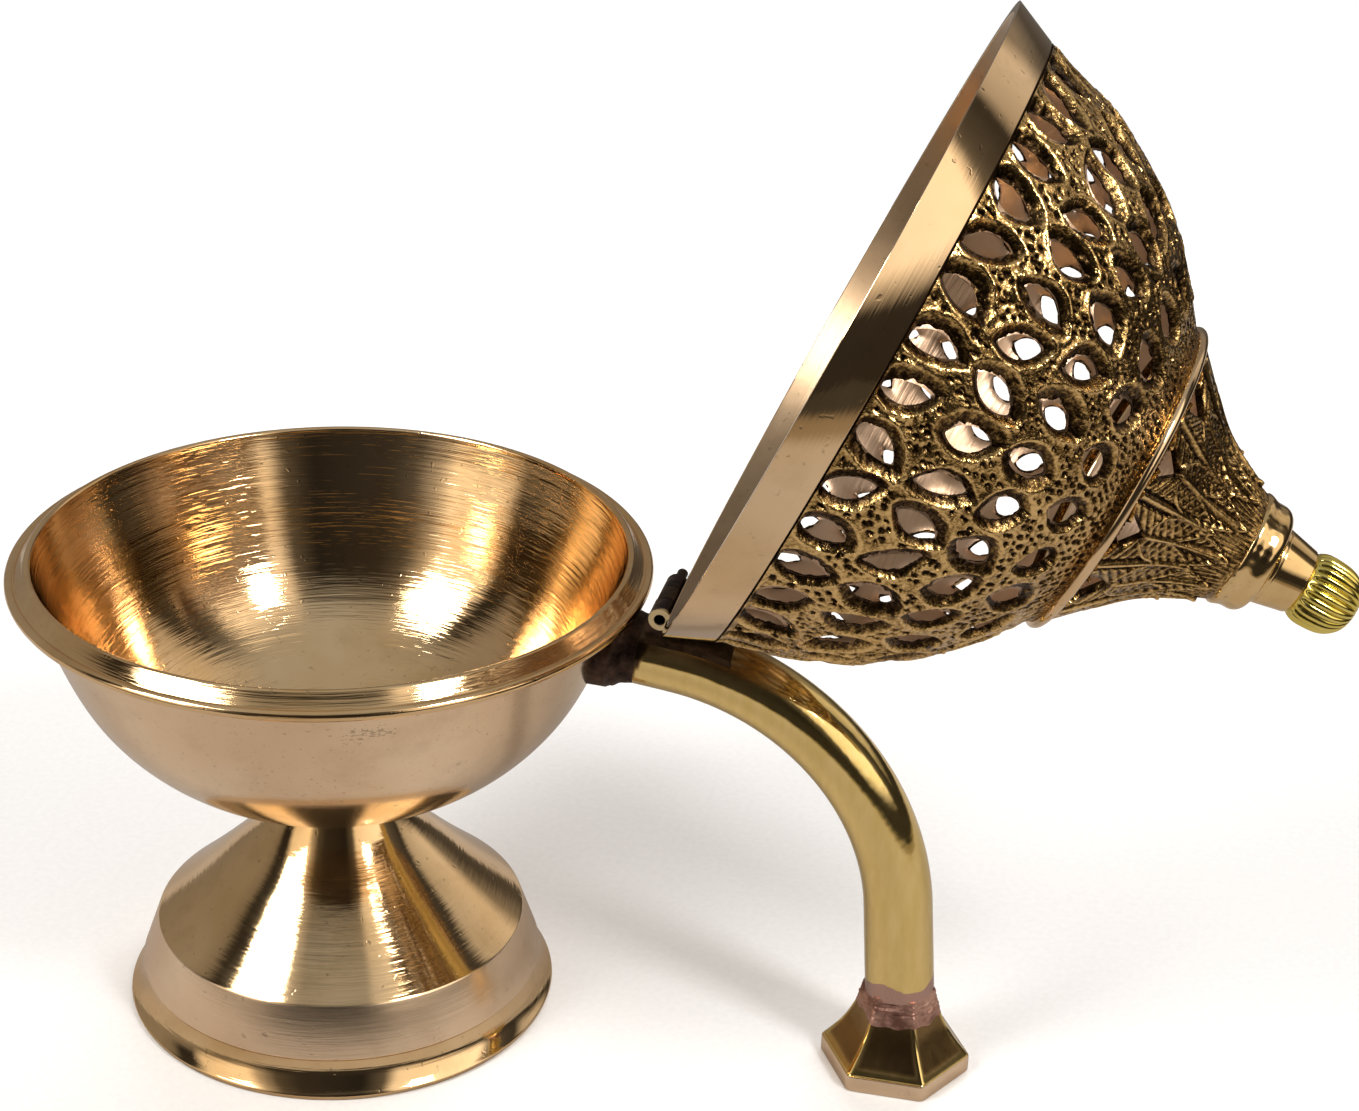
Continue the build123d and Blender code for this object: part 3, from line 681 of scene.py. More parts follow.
def bowl_cast():
    """The turned bowl: polished inside, thin lip, groove, rolled bead and satin outside."""
    bead_x = RIM_RADIUS - BEAD_RADIUS
    under = (bead_x - 0.4, BEAD_HEIGHT - BEAD_RADIUS * 0.9)
    over = (bead_x - 0.2, BEAD_HEIGHT + BEAD_RADIUS * 0.95)
    groove = (over[0] - 0.35, over[1] - 0.25)
    shoulder = (LIP_RADIUS + 0.45, LIP_HEIGHT - 0.3)
    mirrored = [(-r, h) for r, h in reversed(BOWL_INSIDE)]
    steps = 120
    inside = smooth_curve([*mirrored, (0, BOWL_FLOOR), *BOWL_INSIDE], 2 * steps + 1)[steps:]
    lip = arc_through(BOWL_INSIDE[-1], (LIP_RADIUS, LIP_HEIGHT), shoulder)
    bead = arc_through(over, (RIM_RADIUS, BEAD_HEIGHT), under, 13)
    base = [(BOSS_RADIUS, BOSS_HEIGHT), (0, BOSS_HEIGHT)]
    outline = np.concatenate([inside, lip[1:], [groove], bead, bowl_side()[::-1], base])[::-1]
    outline[-1, 0] = 0
    satin_from, satin_to = BOWL_SIDE[1][1] + 0.6, BOWL_SIDE[-1][1]

    def is_satin(radius, height, outward):
        return (outward > 0) & (height > satin_from) & (height < satin_to)

    add_turned("bowl_cast", soften(outline, cut=0.15), [BOWL_BRASS, OUTSIDE_BRASS],
               "burner", ["bowl"], is_satin)


def pedestal_cast():
    """The hollow pedestal: waisted cone, satin band and flared foot."""
    crease = (BAND_RADIUS - 0.35, BAND_HEIGHT - 0.3)
    flare = arc_through(crease, *FOOT_FLARE, 14)
    cone = smooth_curve(PEDESTAL_CONE, 60)
    cone_top = (BOSS_RADIUS, PEDESTAL_CONE[0][1])
    outline = np.concatenate([
        [(STUD_HOLE, PEDESTAL_UNDERSIDE), (STUD_HOLE, BOSS_HEIGHT), (BOSS_RADIUS, BOSS_HEIGHT), cone_top],
        cone,
        [(BAND_RADIUS, BAND_HEIGHT)],
        flare,
        [(FOOT_RADIUS - 0.3, 0)],
        PEDESTAL_HOLLOW,
        [(PEDESTAL_HOLLOW[-1][0], PEDESTAL_UNDERSIDE), (STUD_HOLE, PEDESTAL_UNDERSIDE)],
    ])[::-1]
    band_top = PEDESTAL_CONE[-1][1]

    def is_band(radius, height, outward):
        return (outward > 0) & (height > BAND_HEIGHT) & (height < band_top)

    add_turned("pedestal_cast", soften(outline, cut=0.2)[:-1], [PEDESTAL_BRASS, SATIN_BRASS],
               "burner", ["pedestal"], is_band, closed=True)


# ---- handle ------------------------------------------------------------------------------------


def handle_line(count=150):
    """Points, tangents and lengths along the tube's centreline, from the bowl to the foot."""
    droop, lean = tan(HANDLE_DROOP), tan(HANDLE_LEAN)
    root = np.array(HANDLE_ROOT)
    end = np.array((FOOT_X, TUBE_END_HEIGHT))
    table_x = end[0] + end[1] * lean
    corner_x = (table_x - (root[1] + root[0] * droop) * lean) / (1 - droop * lean)
    corner = np.array((corner_x, root[1] - (corner_x - root[0]) * droop))
    first, last = corner - root, end - corner
    first, last = first / np.linalg.norm(first), last / np.linalg.norm(last)
    turn = np.arccos(first @ last)
    reach = BEND_RADIUS * tan(turn / 2)
    centre = corner - first * reach + np.array((first[1], -first[0])) * BEND_RADIUS
    runs = [np.linalg.norm(corner - root) - reach, BEND_RADIUS * turn, np.linalg.norm(end - corner) - reach]
    at = np.linspace(0, sum(runs), count)
    points = np.empty((count, 2))
    ways = np.empty((count, 2))
    for index, length in enumerate(at):
        if length < runs[0]:
            points[index], ways[index] = root + first * length, first
        elif length < runs[0] + runs[1]:
            bend = (length - runs[0]) / BEND_RADIUS
            angle = atan2(first[1], first[0]) - bend
            ways[index] = cos(angle), sin(angle)
            points[index] = centre + BEND_RADIUS * np.array((-ways[index][1], ways[index][0]))
        else:
            points[index] = end - last * (sum(runs) - length)
            ways[index] = last
    return points, ways, at


def rings_along(points, ways, angles, radii):
    """Rings square to a line in the XZ plane. Angle 0 is on the upper or outer side."""
    up = np.stack([-ways[:, 1], ways[:, 0]], 1)
    grid = np.empty((len(points), len(angles), 3))
    grid[..., 0] = points[:, 0][:, None] + up[:, 0][:, None] * np.cos(angles) * radii
    grid[..., 1] = -np.sin(angles) * radii
    grid[..., 2] = points[:, 1][:, None] + up[:, 1][:, None] * np.cos(angles) * radii
    return grid


def bowl_radius_at(height):
    """The radius of the bowl's outside at a height."""
    side = bowl_side()
    return np.interp(height, side[:, 1], side[:, 0])


def trimmed_to_bowl(grid, depth):
    """Moves the first ring's points along the tube until they are a little way inside the bowl's wall."""
    way = np.array((cos(HANDLE_DROOP), 0, -sin(HANDLE_DROOP)))
    ring = grid[0].copy()
    for _ in range(12):
        short = bowl_radius_at(ring[:, 2]) - depth - np.hypot(ring[:, 0], ring[:, 1])
        ring += way * short[:, None]
    grid[0] = ring
    return grid


def handle_tube():
    """The bent tube, burnt where it is brazed to the bowl and copper-stained at its end."""
    points, ways, at = handle_line()
    angles = round_angles(TUBE_SIDES)
    bent = smoothstep(*BEND_BEGINS, at) * (1 - smoothstep(*BEND_ENDS, at))
    radii = TUBE_RADIUS - BEND_FLATNESS * bent[:, None] * np.cos(2 * angles) ** 2
    outside = rings_along(points, ways, angles, radii)
    start = np.searchsorted(at, 5.0)
    outside = trimmed_to_bowl(outside[start:], depth=0.9)
    at = at[start:]
    rings = 8
    bore_radii = np.full((rings, TUBE_SIDES), TUBE_RADIUS - TUBE_WALL)
    bore = rings_along(points[-rings:], ways[-rings:], angles, bore_radii)[::-1]
    root, end = (np.broadcast_to(ring.mean(0), (1, TUBE_SIDES, 3)) for ring in (outside[0], bore[-1]))
    points, faces = grid_faces(np.concatenate([root, outside, bore, end]))
    length = np.concatenate([[at[0]], at, np.full(rings + 1, at[-1])])[:, None]
    add_piece("handle_tube_brass", points, faces, [TUBE_BRASS], "burner",
              ["handle_tube"], tube_marks(angles, length))


def tube_marks(angles, length):
    """Burns at the tube's root and along its top, smoke near its foot and the copper stain at its end."""
    around = np.cos(angles)[None, :]
    edge = ROOT_BURN_LENGTH + lumps(angles, 0, 0.35, 21)[None, :] + 1.2 * around
    root_burn = 0.85 * (1 - smoothstep(edge - 0.35, edge + 0.35, length))
    top_burn = 0.62 * smoothstep(0.1, 0.7, around) * (1 - smoothstep(*TOP_BURN_ENDS, length))
    smoke = 0.16 * np.exp(-((length - SMOKE_MIDDLE) / SMOKE_REACH) ** 2)
    burn_and_painted_shade = np.maximum(root_burn, top_burn) + smoke
    arch = length[-1] - 2.6 - 0.8 * np.cos(3 * angles + 1.0)[None, :] + lumps(angles, 0, 0.35, 17)[None, :]
    copper = smoothstep(arch - 0.5, arch + 0.5, length)
    return {"burn_and_painted_shade": burn_and_painted_shade.ravel(), "copper": copper.ravel()}


def hexagon_radius(angles, flat, power):
    """Distance to a round-cornered hexagon's edge, its corners on the X axis."""
    total = 0
    for side in range(6):
        total = total + np.maximum(np.cos(angles - radians(30 + 60 * side)), 0) ** power
    return flat / total ** (1 / power)


HEX_FLATS = cos(radians(30))
HEX_SIDES = 240
HEX_CURVE = [(HEX_CORNER_RADIUS, HEX_BAND), (8.75, 7.0), (6.8, 11.0), (5.9, 13.6)]
FACET_PAINTED_SHADE = [(-90, 0.85), (-30, 0.8), (-150, 0.72)]  # facet's direction, how much painted shade it gets


def handle_foot():
    """The hexagonal flared foot with its short base band."""
    facets = smooth_curve(HEX_CURVE, 40)
    facets[:, 0] *= HEX_FLATS
    flat = HEX_CORNER_RADIUS * HEX_FLATS
    band = [(0, 0.35), (flat - 2.2, 0.35), (flat - 1.6, 0), (flat, 0), (flat, HEX_BAND)]
    shelf = facets[1:] - (0.12, 0)
    crease = (flat - 0.35, HEX_BAND + 0.1)
    outline = soften(np.concatenate([band, [crease], shelf, [(0, HEX_CURVE[-1][1])]]), cut=0.28)
    outline[-1, 0] = 0

    def shape(angles, radii, heights):
        power = 38 + 60 * smoothstep(HEX_BAND, HEX_BAND + 0.4, heights)
        return hexagon_radius(angles, 1.0, power) * radii

    points, faces = turned(outline, HEX_SIDES, shape=shape)
    azimuth = np.degrees(np.arctan2(points[:, 1], points[:, 0]))
    # Painted shade: the three facets that face the camera are darkened, through the same mark as the tube's
    # burns.
    front = sum(share * smoothstep(30, 24, np.abs(azimuth - middle)) for middle, share in FACET_PAINTED_SHADE)
    on_facet = smoothstep(HEX_BAND + 0.4, HEX_BAND + 1.6, points[:, 2])
    marks = {"burn_and_painted_shade": np.clip(0.72 * front, 0, 1) * on_facet, "copper": np.zeros(len(points))}
    materials = [TUBE_BRASS, SATIN_BRASS]
    foot = add_piece("handle_foot_hex", points, faces, materials, "burner",
                     ["handle_foot"], marks, sharp=25, along_x=FOOT_X)
    paint_segments(foot, outline, HEX_SIDES, lambda radius, height, outward: height < HEX_BAND + 0.05)


def lumps(angles, along, strength, seed):
    """Smooth lumps over a band of braze, the same each run."""
    total = 0
    chosen = np.random.default_rng(seed)
    for waves in (2, 3, 5, 8, 13):
        shift, slide = chosen.uniform(0, 2 * pi, 2)
        total = total + np.sin(waves * angles + shift + slide * 3 * along) / waves**0.7
    return strength * total


def foot_braze():
    """Lumpy copper-coloured braze from the tube's end down over the tops of the facets."""
    angles = round_angles(180)
    share = np.linspace(0, 1, 22)[:, None]
    lower = FOOT_BRAZE_LOW + lumps(angles, 0, 0.55, 3)[None, :]
    heights = (TUBE_END_HEIGHT + 0.35) * (1 - share) + lower * share
    facet = np.interp(heights, *smooth_curve(HEX_CURVE, 40).T[::-1]) * HEX_FLATS
    facet = hexagon_radius(angles[None, :], 1.0, 60) * facet
    wrinkles = 0.10 * np.sin(34 * share + lumps(angles[None, :], share, 1.4, 6))
    bulge = np.sin(pi * share ** 0.7) * (0.20 + wrinkles + lumps(angles[None, :], share, 0.07, 5))
    tube = TUBE_RADIUS * (1 - smoothstep(0.0, 0.25, share))
    outer = np.maximum(facet, tube) + np.maximum(bulge, -0.15) - 0.08
    inner = facet - 0.6
    rings = []
    for radii, levels in ((outer, heights), (inner[::-1], heights[::-1])):
        rings.append(np.stack([radii * np.cos(angles), radii * np.sin(angles), levels + 0 * radii], 2))
    points, faces = grid_faces(np.concatenate(rings)[::-1], closed=True)
    add_piece("foot_braze_copper", points, faces, [COPPER_BRAZE], "burner",
              ["handle_foot_braze"], along_x=FOOT_X)


def root_braze():
    """The burnt collar of braze round the tube where it meets the bowl."""
    points, ways, at = handle_line(300)
    angles = round_angles(144)
    kept = (at > 1.0) & (at < 6.0)
    points, ways, at = points[kept], ways[kept], at[kept]
    share = ((at - at[0]) / (at[-1] - at[0]))[:, None]
    swell = 1.5 * (1 - share) ** 2 + 0.30 * (1 - share)
    radii = TUBE_RADIUS - 0.15 + swell * (1 + lumps(angles[None, :], share, 0.16, 8)) + 0.12
    radii[-1] = TUBE_RADIUS - 0.3
    inner_radii = np.full_like(radii, TUBE_RADIUS - 0.6)
    outer, inner = (
        trimmed_to_bowl(rings_along(points, ways, angles, ring), depth=0.5) for ring in (radii, inner_radii)
    )
    points, faces = grid_faces(np.concatenate([outer, inner[::-1]]), closed=True)
    add_piece("root_braze_burnt", points, faces, [BURNT_BRAZE], "burner",
              ["handle_root_braze"])


# ---- lid ---------------------------------------------------------------------------------------


def lid_band():
    """The plain turned band at the lid's rim: polished outside, scraped inside, a dark groove above it."""
    groove = (LID_BAND[0] - 0.35, LID_BAND[1] + 0.15)
    inner_top = (DOME_CURVE[0][0] - LID_WALL - 0.1, DOME_CURVE[0][1] + 0.3)
    outer_top = (groove[0] - 0.2, inner_top[1])
    mouth = LID_RADIUS - LID_WALL
    outline = soften([
        inner_top, (mouth, 0), (LID_RADIUS, 0), LID_BAND, groove, outer_top, inner_top,
    ], cut=0.12)[:-1]

    def choose(radius, height, outward):
        in_groove = height > LID_BAND[1] - 0.02
        inside = (outward < -0.5) & (radius < mouth - 0.1)
        return np.where(in_groove, 2, np.where(inside, 1, 0))

    add_turned("lid_band_turned", outline, [BAND_BRASS, BAND_INSIDE_BRASS, GROOVE_DARK],
               "lid", ["lid_band"], choose, closed=True)


def lid_grid(curve, sides, rows):
    """Angles, the outline's points and normals, and lengths up the outline."""
    angles = round_angles(sides)
    outline = smooth_curve(curve, rows)
    normals = outward_normals(outline)
    lengths = np.concatenate([[0], np.cumsum(np.linalg.norm(np.diff(outline, axis=0), axis=1))])
    return angles, outline, normals, lengths


def lift(angles, outline, normals, offset):
    """Grid points standing off an outline by an offset that may vary over the grid."""
    radii = outline[:, 0] + normals[:, 0] * offset
    heights = outline[:, 1] + normals[:, 1] * offset
    return np.stack([radii * np.cos(angles)[:, None], radii * np.sin(angles)[:, None], heights], 2)


def angle_between(angles, centre):
    """Signed turn from centre to each angle, at most half a turn."""
    return (angles - centre + pi) % (2 * pi) - pi


def eye_distance(a, b, length, width):
    """Signed distance from a pointed oval, negative inside it."""
    round_radius = (length**2 + width**2) / (4 * width)
    shift = round_radius - width / 2
    return np.maximum(np.hypot(a, b + shift), np.hypot(a, b - shift)) - round_radius


GROUND_DEPTH = 0.30  # how far the ground between the openings lies inside the plain outline
SCOOP_DEPTH = 1.05
EYE_LIP = 0.17
STREAK_DEPTH = 0.11
PIT_DEPTH = 0.42
PIT_PITCH = 1.42
PIT_VARIETY = [(0.27, 1.0), (0.47, 1.8)]  # radius and lengthening, least and most
SOLID = 9.0  # distance from the nearest opening where there is none near


def flow_streaks(shape):
    """Ridges that run up the outline and wander a little, as the casting sand leaves them."""
    coarse = random.normal(0, 1, (shape[0], 16))
    at = np.linspace(0, coarse.shape[1] - 1.001, shape[1])
    low = at.astype(int)
    share = (at - low)[None, :]
    streaks = coarse[:, low] * (1 - share) + coarse[:, low + 1] * share
    padded = np.concatenate([streaks[-3:], streaks, streaks[:3]])
    streaks = sum(padded[shift:shift + shape[0]] for shift in range(7))
    return streaks / streaks.std()


def eye_fields(angles, outline, lengths):
    """Distance from the openings, distance outside their scooped borders, and depth of the scoops."""
    shape = (len(angles), len(lengths))
    metal = np.full(shape, SOLID)
    border = np.full(shape, SOLID)
    scoop = np.zeros(shape)
    for height, count, first, length, width in EYE_ROWS:
        middle = np.interp(height, outline[:, 1], lengths)
        radius = np.interp(height, outline[:, 1], outline[:, 0])
        rows = np.abs(lengths - middle) < EYE_REACH[1]
        for number in range(count):
            turn = angle_between(angles, radians(first + number * 360 / count))
            sides = np.abs(turn) * radius < EYE_REACH[0]
            patch = np.ix_(sides, rows)
            tilt = radians(EYE_TILT * sin(number * 2.4 + height)) * EYE_SWING
            across = -turn[sides][:, None] * outline[rows, 0][None, :]
            up = (lengths[rows] - middle)[None, :]
            a = up * cos(tilt) + across * sin(tilt)
            b = across * cos(tilt) - up * sin(tilt)
            bend, stretch, widen, reach, lean = random.uniform(*EYE_VARIETY)
            b = b + bend * a**2 / 2
            distance = eye_distance(a, b, length * stretch, width * widen)
            reach_here = reach * (1 + lean * np.tanh(b))
            share = np.clip(distance / reach_here, 0, 1)
            depth = np.where(distance < reach_here, (1 - share**1.7) ** 1.2, 0)
            metal[patch] = np.minimum(metal[patch], distance)
            border[patch] = np.minimum(border[patch], distance - reach_here)
            scoop[patch] = np.maximum(scoop[patch], depth)
    return metal, border, scoop


def even_noise(shape, reach, passes):
    """Random heights smoothed over a reach, about 1 high."""
    noise = random.normal(0, 1, shape)
    for _ in range(passes):
        noise = blurred(noise, reach)
    return noise / noise.std()


def dome_relief(angles, outline, lengths):
    """Relief height, distance from the openings, depth of scoops and of punched dots, and the streaks."""
    metal, border, scoop = eye_fields(angles, outline, lengths)
    edge_rows = np.minimum(lengths, lengths[-1] - lengths)
    metal = np.where(edge_rows[None, :] < 0.4, SOLID, metal)
    slow = even_noise(metal.shape, 9, 2)
    quick = even_noise(metal.shape, 1, 1)
    lip = EYE_LIP * np.clip(0.8 + slow, 0, 2) * np.exp(-((border - 0.28) / 0.34) ** 2)
    pits = stipple(angles, outline, lengths, border)
    near_hinge = 1 - smoothstep(radians(34), radians(62), np.abs(angle_between(angles, 0)))
    streaks = flow_streaks(metal.shape) * near_hinge[:, None]
    relief = lip - GROUND_DEPTH - SCOOP_DEPTH * scoop - pits + 0.045 * slow
    relief += quick * (0.022 + 0.075 * smoothstep(0.04, 0.3, scoop)) + STREAK_DEPTH * streaks
    fade = smoothstep(0, 1.0, edge_rows)[None, :]
    relief = relief * fade - 0.1 * (1 - fade)
    return relief, metal, scoop, pits, streaks


def stipple(angles, outline, lengths, border):
    """Small punched dots in uneven rows on the flat ground between the eyes."""
    pits = np.zeros(border.shape)
    step = 2 * pi / len(angles)
    reach = 5
    for row_length in np.arange(1.2, lengths[-1] - 0.8, PIT_PITCH * 0.92):
        radius = np.interp(row_length, lengths, outline[:, 0])
        count = int(2 * pi * radius / PIT_PITCH)
        for number in range(count):
            jitter_angle, jitter_length = random.uniform(-0.34, 0.34, 2)
            size, longer = random.uniform(*PIT_VARIETY)
            angle = (number + jitter_angle) * 2 * pi / count
            centre = row_length + jitter_length
            column = int(round(angle / step)) % len(angles)
            row = int(np.searchsorted(lengths, centre))
            if row >= len(lengths) or border[column, row] < 0.50:
                continue
            near = np.arange(column - reach, column + reach + 1) % len(angles)
            rows = slice(max(row - reach, 0), row + reach + 1)
            across = angle_between(angles[near], angle)[:, None] * radius
            distance = np.hypot(across, (lengths[rows] - centre)[None, :] / longer)
            pit = PIT_DEPTH * (1 - smoothstep(size * 0.4, size * 1.15, distance))
            patch = np.ix_(near, np.arange(len(lengths))[rows])
            pits[patch] = np.maximum(pits[patch], pit)
    return pits


def rubbed(relief, reach, scale):
    """How far the surface stands above its surroundings, as 0 in hollows to 1 on high parts."""
    return np.clip(0.5 + (relief - blurred(relief, reach)) / scale, 0, 1)


def lid_dome():
    """The pierced cast dome, its openings scooped and the ground between them punched with dots."""
    angles, outline, normals, lengths = lid_grid(DOME_CURVE, 960, 150)
    relief, metal, scoop, pits, streaks = dome_relief(angles, outline, lengths)
    outer = lift(angles, outline, normals, relief)
    thin = 0.45 * np.exp(-np.maximum(metal, 0) / 0.7)
    inner = lift(angles, outline, normals, -LID_WALL + thin)
    polish = 0.62 + 0.5 * (rubbed(relief, 3, 1.0) - 0.5)
    polish -= 0.28 * smoothstep(0.03, 0.40, scoop) + 0.12 * smoothstep(0.6, 1.0, scoop)
    polish -= 0.62 * pits / PIT_DEPTH - 0.10 * np.clip(streaks, -2, 2)
    # Darker over the last two millimetres below the ring bead.
    polish -= 0.12 * (1 - smoothstep(0.5, 2.2, lengths[-1] - lengths))
    polish = np.clip(polish, 0, 1)
    points, faces, marks, inner_faces = pierced_shell(outer, inner, metal, polish)
    obj = add_piece("dome_cast", points, faces, [CAST_BRASS, INSIDE_BRASS], "lid",
                    ["lid_dome"], {"polish": marks}, sharp=50)
    line_inside(obj, len(faces), inner_faces)


def line_inside(obj, count, inner_faces):
    """Gives the shell's inner faces the second material."""
    chosen = np.zeros(count, np.int32)
    chosen[inner_faces] = 1
    obj.data.polygons.foreach_set("material_index", chosen)


def leaf_relief(across, along, length, width, vein_pitch):
    """One pointed leaf with a raised midrib and slanting vein lines; -9 outside its edge."""
    share = np.clip(along / length, 0, 1)
    half = width / 2 * np.sin(pi * share**0.62) ** 0.75 + 1e-6
    inside = (np.abs(across) < half) & (along > 0) & (along < length)
    edge = np.clip(1 - np.abs(across) / half, 0, 1)
    phase = 2 * pi * (along - 0.75 * np.abs(across)) / vein_pitch
    veins = 0.36 * (np.abs(np.cos(phase / 2)) ** 0.7 - 0.75) * smoothstep(0.7, 1.0, np.abs(across))
    rib = 0.42 * np.exp(-(across / 0.42) ** 2) - 0.35 * np.exp(-((np.abs(across) - 0.85) / 0.22) ** 2)
    border = 0.30 * np.exp(-((1 - edge) * half - half + 0.40) ** 2 / 0.12)
    body = -0.42 + rib + border + veins * smoothstep(0, 0.3, edge) + 0.30 * (1 - share)
    return np.where(inside, body, -9.0)


def neck_relief(angles, outline, lengths):
    """Relief height and distance from the gaps."""
    pitch = 2 * pi / NECK_LEAVES
    middle = np.interp(NECK_GAP_HEIGHT, outline[:, 1], lengths)
    turn = (angles - NECK_FIRST_GAP + pitch / 2) % pitch - pitch / 2
    across = turn[:, None] * outline[:, 0][None, :]
    half_turn = (angles - NECK_FIRST_GAP) % pitch - pitch / 2
    beside = half_turn[:, None] * outline[:, 0][None, :]
    along = np.broadcast_to(lengths[None, :], across.shape)
    total = lengths[-1]
    base = middle - NECK_GAP_LENGTH / 3
    taper = NECK_GAP_WIDTH / 2 / NECK_GAP_LENGTH
    side = (np.abs(across) - (base + NECK_GAP_LENGTH - along) * taper) / hypot(1, taper)
    metal = np.maximum(side, base - along)
    low_leaf = leaf_relief(beside, along - 0.4, length=total * 0.66, width=11.5, vein_pitch=1.8)
    over_gap = base + NECK_GAP_LENGTH * 0.8
    high_leaf = leaf_relief(across, along - over_gap, length=total * 0.64, width=8.2, vein_pitch=1.7)
    ground = -0.72 + 0.10 * np.cos(2 * pi * across / 0.8)
    relief = np.maximum(np.maximum(low_leaf, high_leaf - 0.12), ground)
    rim = smoothstep(total - 4.4, total - 1.8, along)
    relief = relief * (1 - rim) + rim * -0.55
    relief = relief - 0.35 * np.exp(-np.maximum(metal, 0) / 0.45)
    relief = relief * smoothstep(0, 0.5, along)
    return relief, metal


def lid_neck():
    """The leafy neck with a triangular gap between each two leaves."""
    angles, outline, normals, lengths = lid_grid(NECK_CURVE, 600, 120)
    relief, metal = neck_relief(angles, outline, lengths)
    outer = lift(angles, outline, normals, relief)
    inner = lift(angles, outline, normals, np.full_like(relief, -LID_WALL))
    polish = 0.10 + 0.75 * rubbed(relief, 3, 0.45)
    points, faces, marks, inner_faces = pierced_shell(outer, inner, metal, polish)
    materials = [CARVED_BRASS, INSIDE_BRASS]
    obj = add_piece("neck_cast", points, faces, materials, "lid",
                    ["lid_neck"], {"polish": marks}, sharp=50)
    line_inside(obj, len(faces), inner_faces)


def neck_ring():
    """The smooth ring bead between dome and neck."""
    centre = (RING_RADIUS - 1.55, RING_HEIGHT)
    angles = round_angles(24)
    outline = np.stack([centre[0] + 1.12 * np.cos(angles), centre[1] + 0.95 * np.sin(angles)], 1)
    add_turned("neck_ring_bead", outline, [BAND_BRASS], "lid", ["lid_neck"], closed=True)


def neck_end():
    """The rounded, rubbed end of the neck that carries the finial."""
    low = NECK_CURVE[-1]
    top = NECK_TOP_HEIGHT
    under = top - 2.0
    bore, stud_hole = low[0] - LID_WALL, 1.6
    foot = (low[0] + 0.55, low[1] - 2.4)
    outside = smooth_curve([
        (foot[0] - 0.5, foot[1]), (foot[0] - 0.05, foot[1] + 0.5), (low[0] + 0.1, low[1] - 0.2),
        (8.4, 69.4), (7.6, 70.6), (6.3, top),
    ], 30)
    inside = [(stud_hole, top), (stud_hole, under), (bore, under), (bore, foot[1])]
    outline = np.concatenate([outside, inside, outside[:1]])

    def shape(angles, radii, heights):
        worn = 0.04 * np.cos(24 * angles) * smoothstep(top - 0.8, top - 2.5, heights)
        return radii - np.where(radii > 7, np.maximum(worn, 0), 0)

    add_turned("neck_end_cast", soften(outline, cut=0.15)[:-1], [COLLAR_BRASS], "lid",
               ["lid_neck"], closed=True, shape=shape)


def leaf_beads():
    """Two rows of small solder beads along the sides of the hinge's moving leaf."""
    along = np.array((LID_BAND[0] - LID_RADIUS, LID_BAND[1]))
    along /= np.linalg.norm(along)
    outward = np.array((along[1], -along[0]))
    profile = arc_through((0, -1), (1, 0), (0, 1), 9)
    profile[[0, -1], 0] = 0
    ball, ball_faces = turned(profile, 12)
    points, faces = [], []
    for side in (-1, 1):
        for distance in np.arange(0.2, LID_BAND[1] + 0.2, SOLDER_PITCH):
            size, slip, sink = random.uniform((0.30, -0.18, 0.0), (0.48, 0.18, 0.2))
            radius, height = np.array((LID_RADIUS, 0)) + along * distance + outward * (0.35 - sink)
            y = side * (LEAF_HALF_WIDTH + 0.25 + slip)
            centre = (np.sqrt(radius**2 - y**2), y, max(height, size))
            faces += [[corner + len(points) * len(ball) for corner in face] for face in ball_faces]
            points.append(ball * size + centre)
    add_piece("leaf_solder_beads", np.concatenate(points), faces, [BEAD_BRASS], "lid",
              ["lid_leaf_braze"])


def finial_collar():
    """The tapered collar under the knob, with a fine groove near its base."""
    low, top = NECK_TOP_HEIGHT, NECK_TOP_HEIGHT + COLLAR_LENGTH
    base, end = COLLAR_RADII
    hole = 1.55
    outline = soften([
        (hole, top), (hole, low), (base, low), (base - 0.03, low + 0.45), (base - 0.16, low + 0.55),
        (base - 0.12, low + 0.7), (end, top), (hole, top),
    ], cut=0.12)[:-1][::-1]
    add_turned("collar_turned", outline, [COLLAR_BRASS], "lid", ["finial_collar"],
               sides=128, closed=True)


def finial_knob():
    """The fluted knob: ridges along it that run out over the rounded end."""
    low = NECK_TOP_HEIGHT + COLLAR_LENGTH
    top = low + KNOB_LENGTH
    side = smooth_curve([
        (4.5, low), (KNOB_RADIUS - 0.2, low + 1.4), (KNOB_RADIUS, low + 3.6),
        (KNOB_RADIUS - 0.5, low + 6.4), (KNOB_RADIUS - 2.2, top - 0.7), (0, top),
    ], 70)
    side[:, 1] = np.minimum(side[:, 1], top)
    side[-1, 0] = 0
    outline = np.concatenate([[(0, low)], side])

    def shape(angles, radii, heights):
        flute = 0.5 - 0.5 * np.abs(np.cos(angles * KNOB_FLUTES / 2)) ** 0.8
        fade = smoothstep(low + 0.3, low + 1.2, heights) * smoothstep(1.8, 3.6, radii)
        return radii - FLUTE_DEPTH * flute * fade

    points, faces = turned(outline, KNOB_FLUTES * 14, shape=shape)
    marks = {"burn_and_painted_shade": np.zeros(len(points)), "copper": np.zeros(len(points))}
    add_piece("knob_fluted", points, faces, [KNOB_BRASS], "lid", ["finial_knob"],
              marks)


# ---- carried-over nodes ------------------------------------------------------------------------


WORN_EDGE = 0.12


def dress_cad_nodes():
    """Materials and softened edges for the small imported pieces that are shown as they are."""
    looks = {
        PLAIN_BRASS: ["base_stud", "base_washer", "base_nut", "finial_stud", "finial_washer", "finial_nut"],
        BURNT_BRASS: ["hinge_fixed_leaf", "hinge_pin"],
        KNUCKLE_BRASS: ["hinge_lid_leaf"],
        BURNT_BRAZE: ["hinge_leaf_braze"],
    }
    for material, names in looks.items():
        for name in names:
            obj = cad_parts[name]
            for slot in obj.material_slots:
                slot.material = material
            bevel = obj.modifiers.new("worn_edges", "BEVEL")
            bevel.width = WORN_EDGE * MM
            bevel.segments = 2
            bevel.limit_method = "ANGLE"


# ---- studio ------------------------------------------------------------------------------------


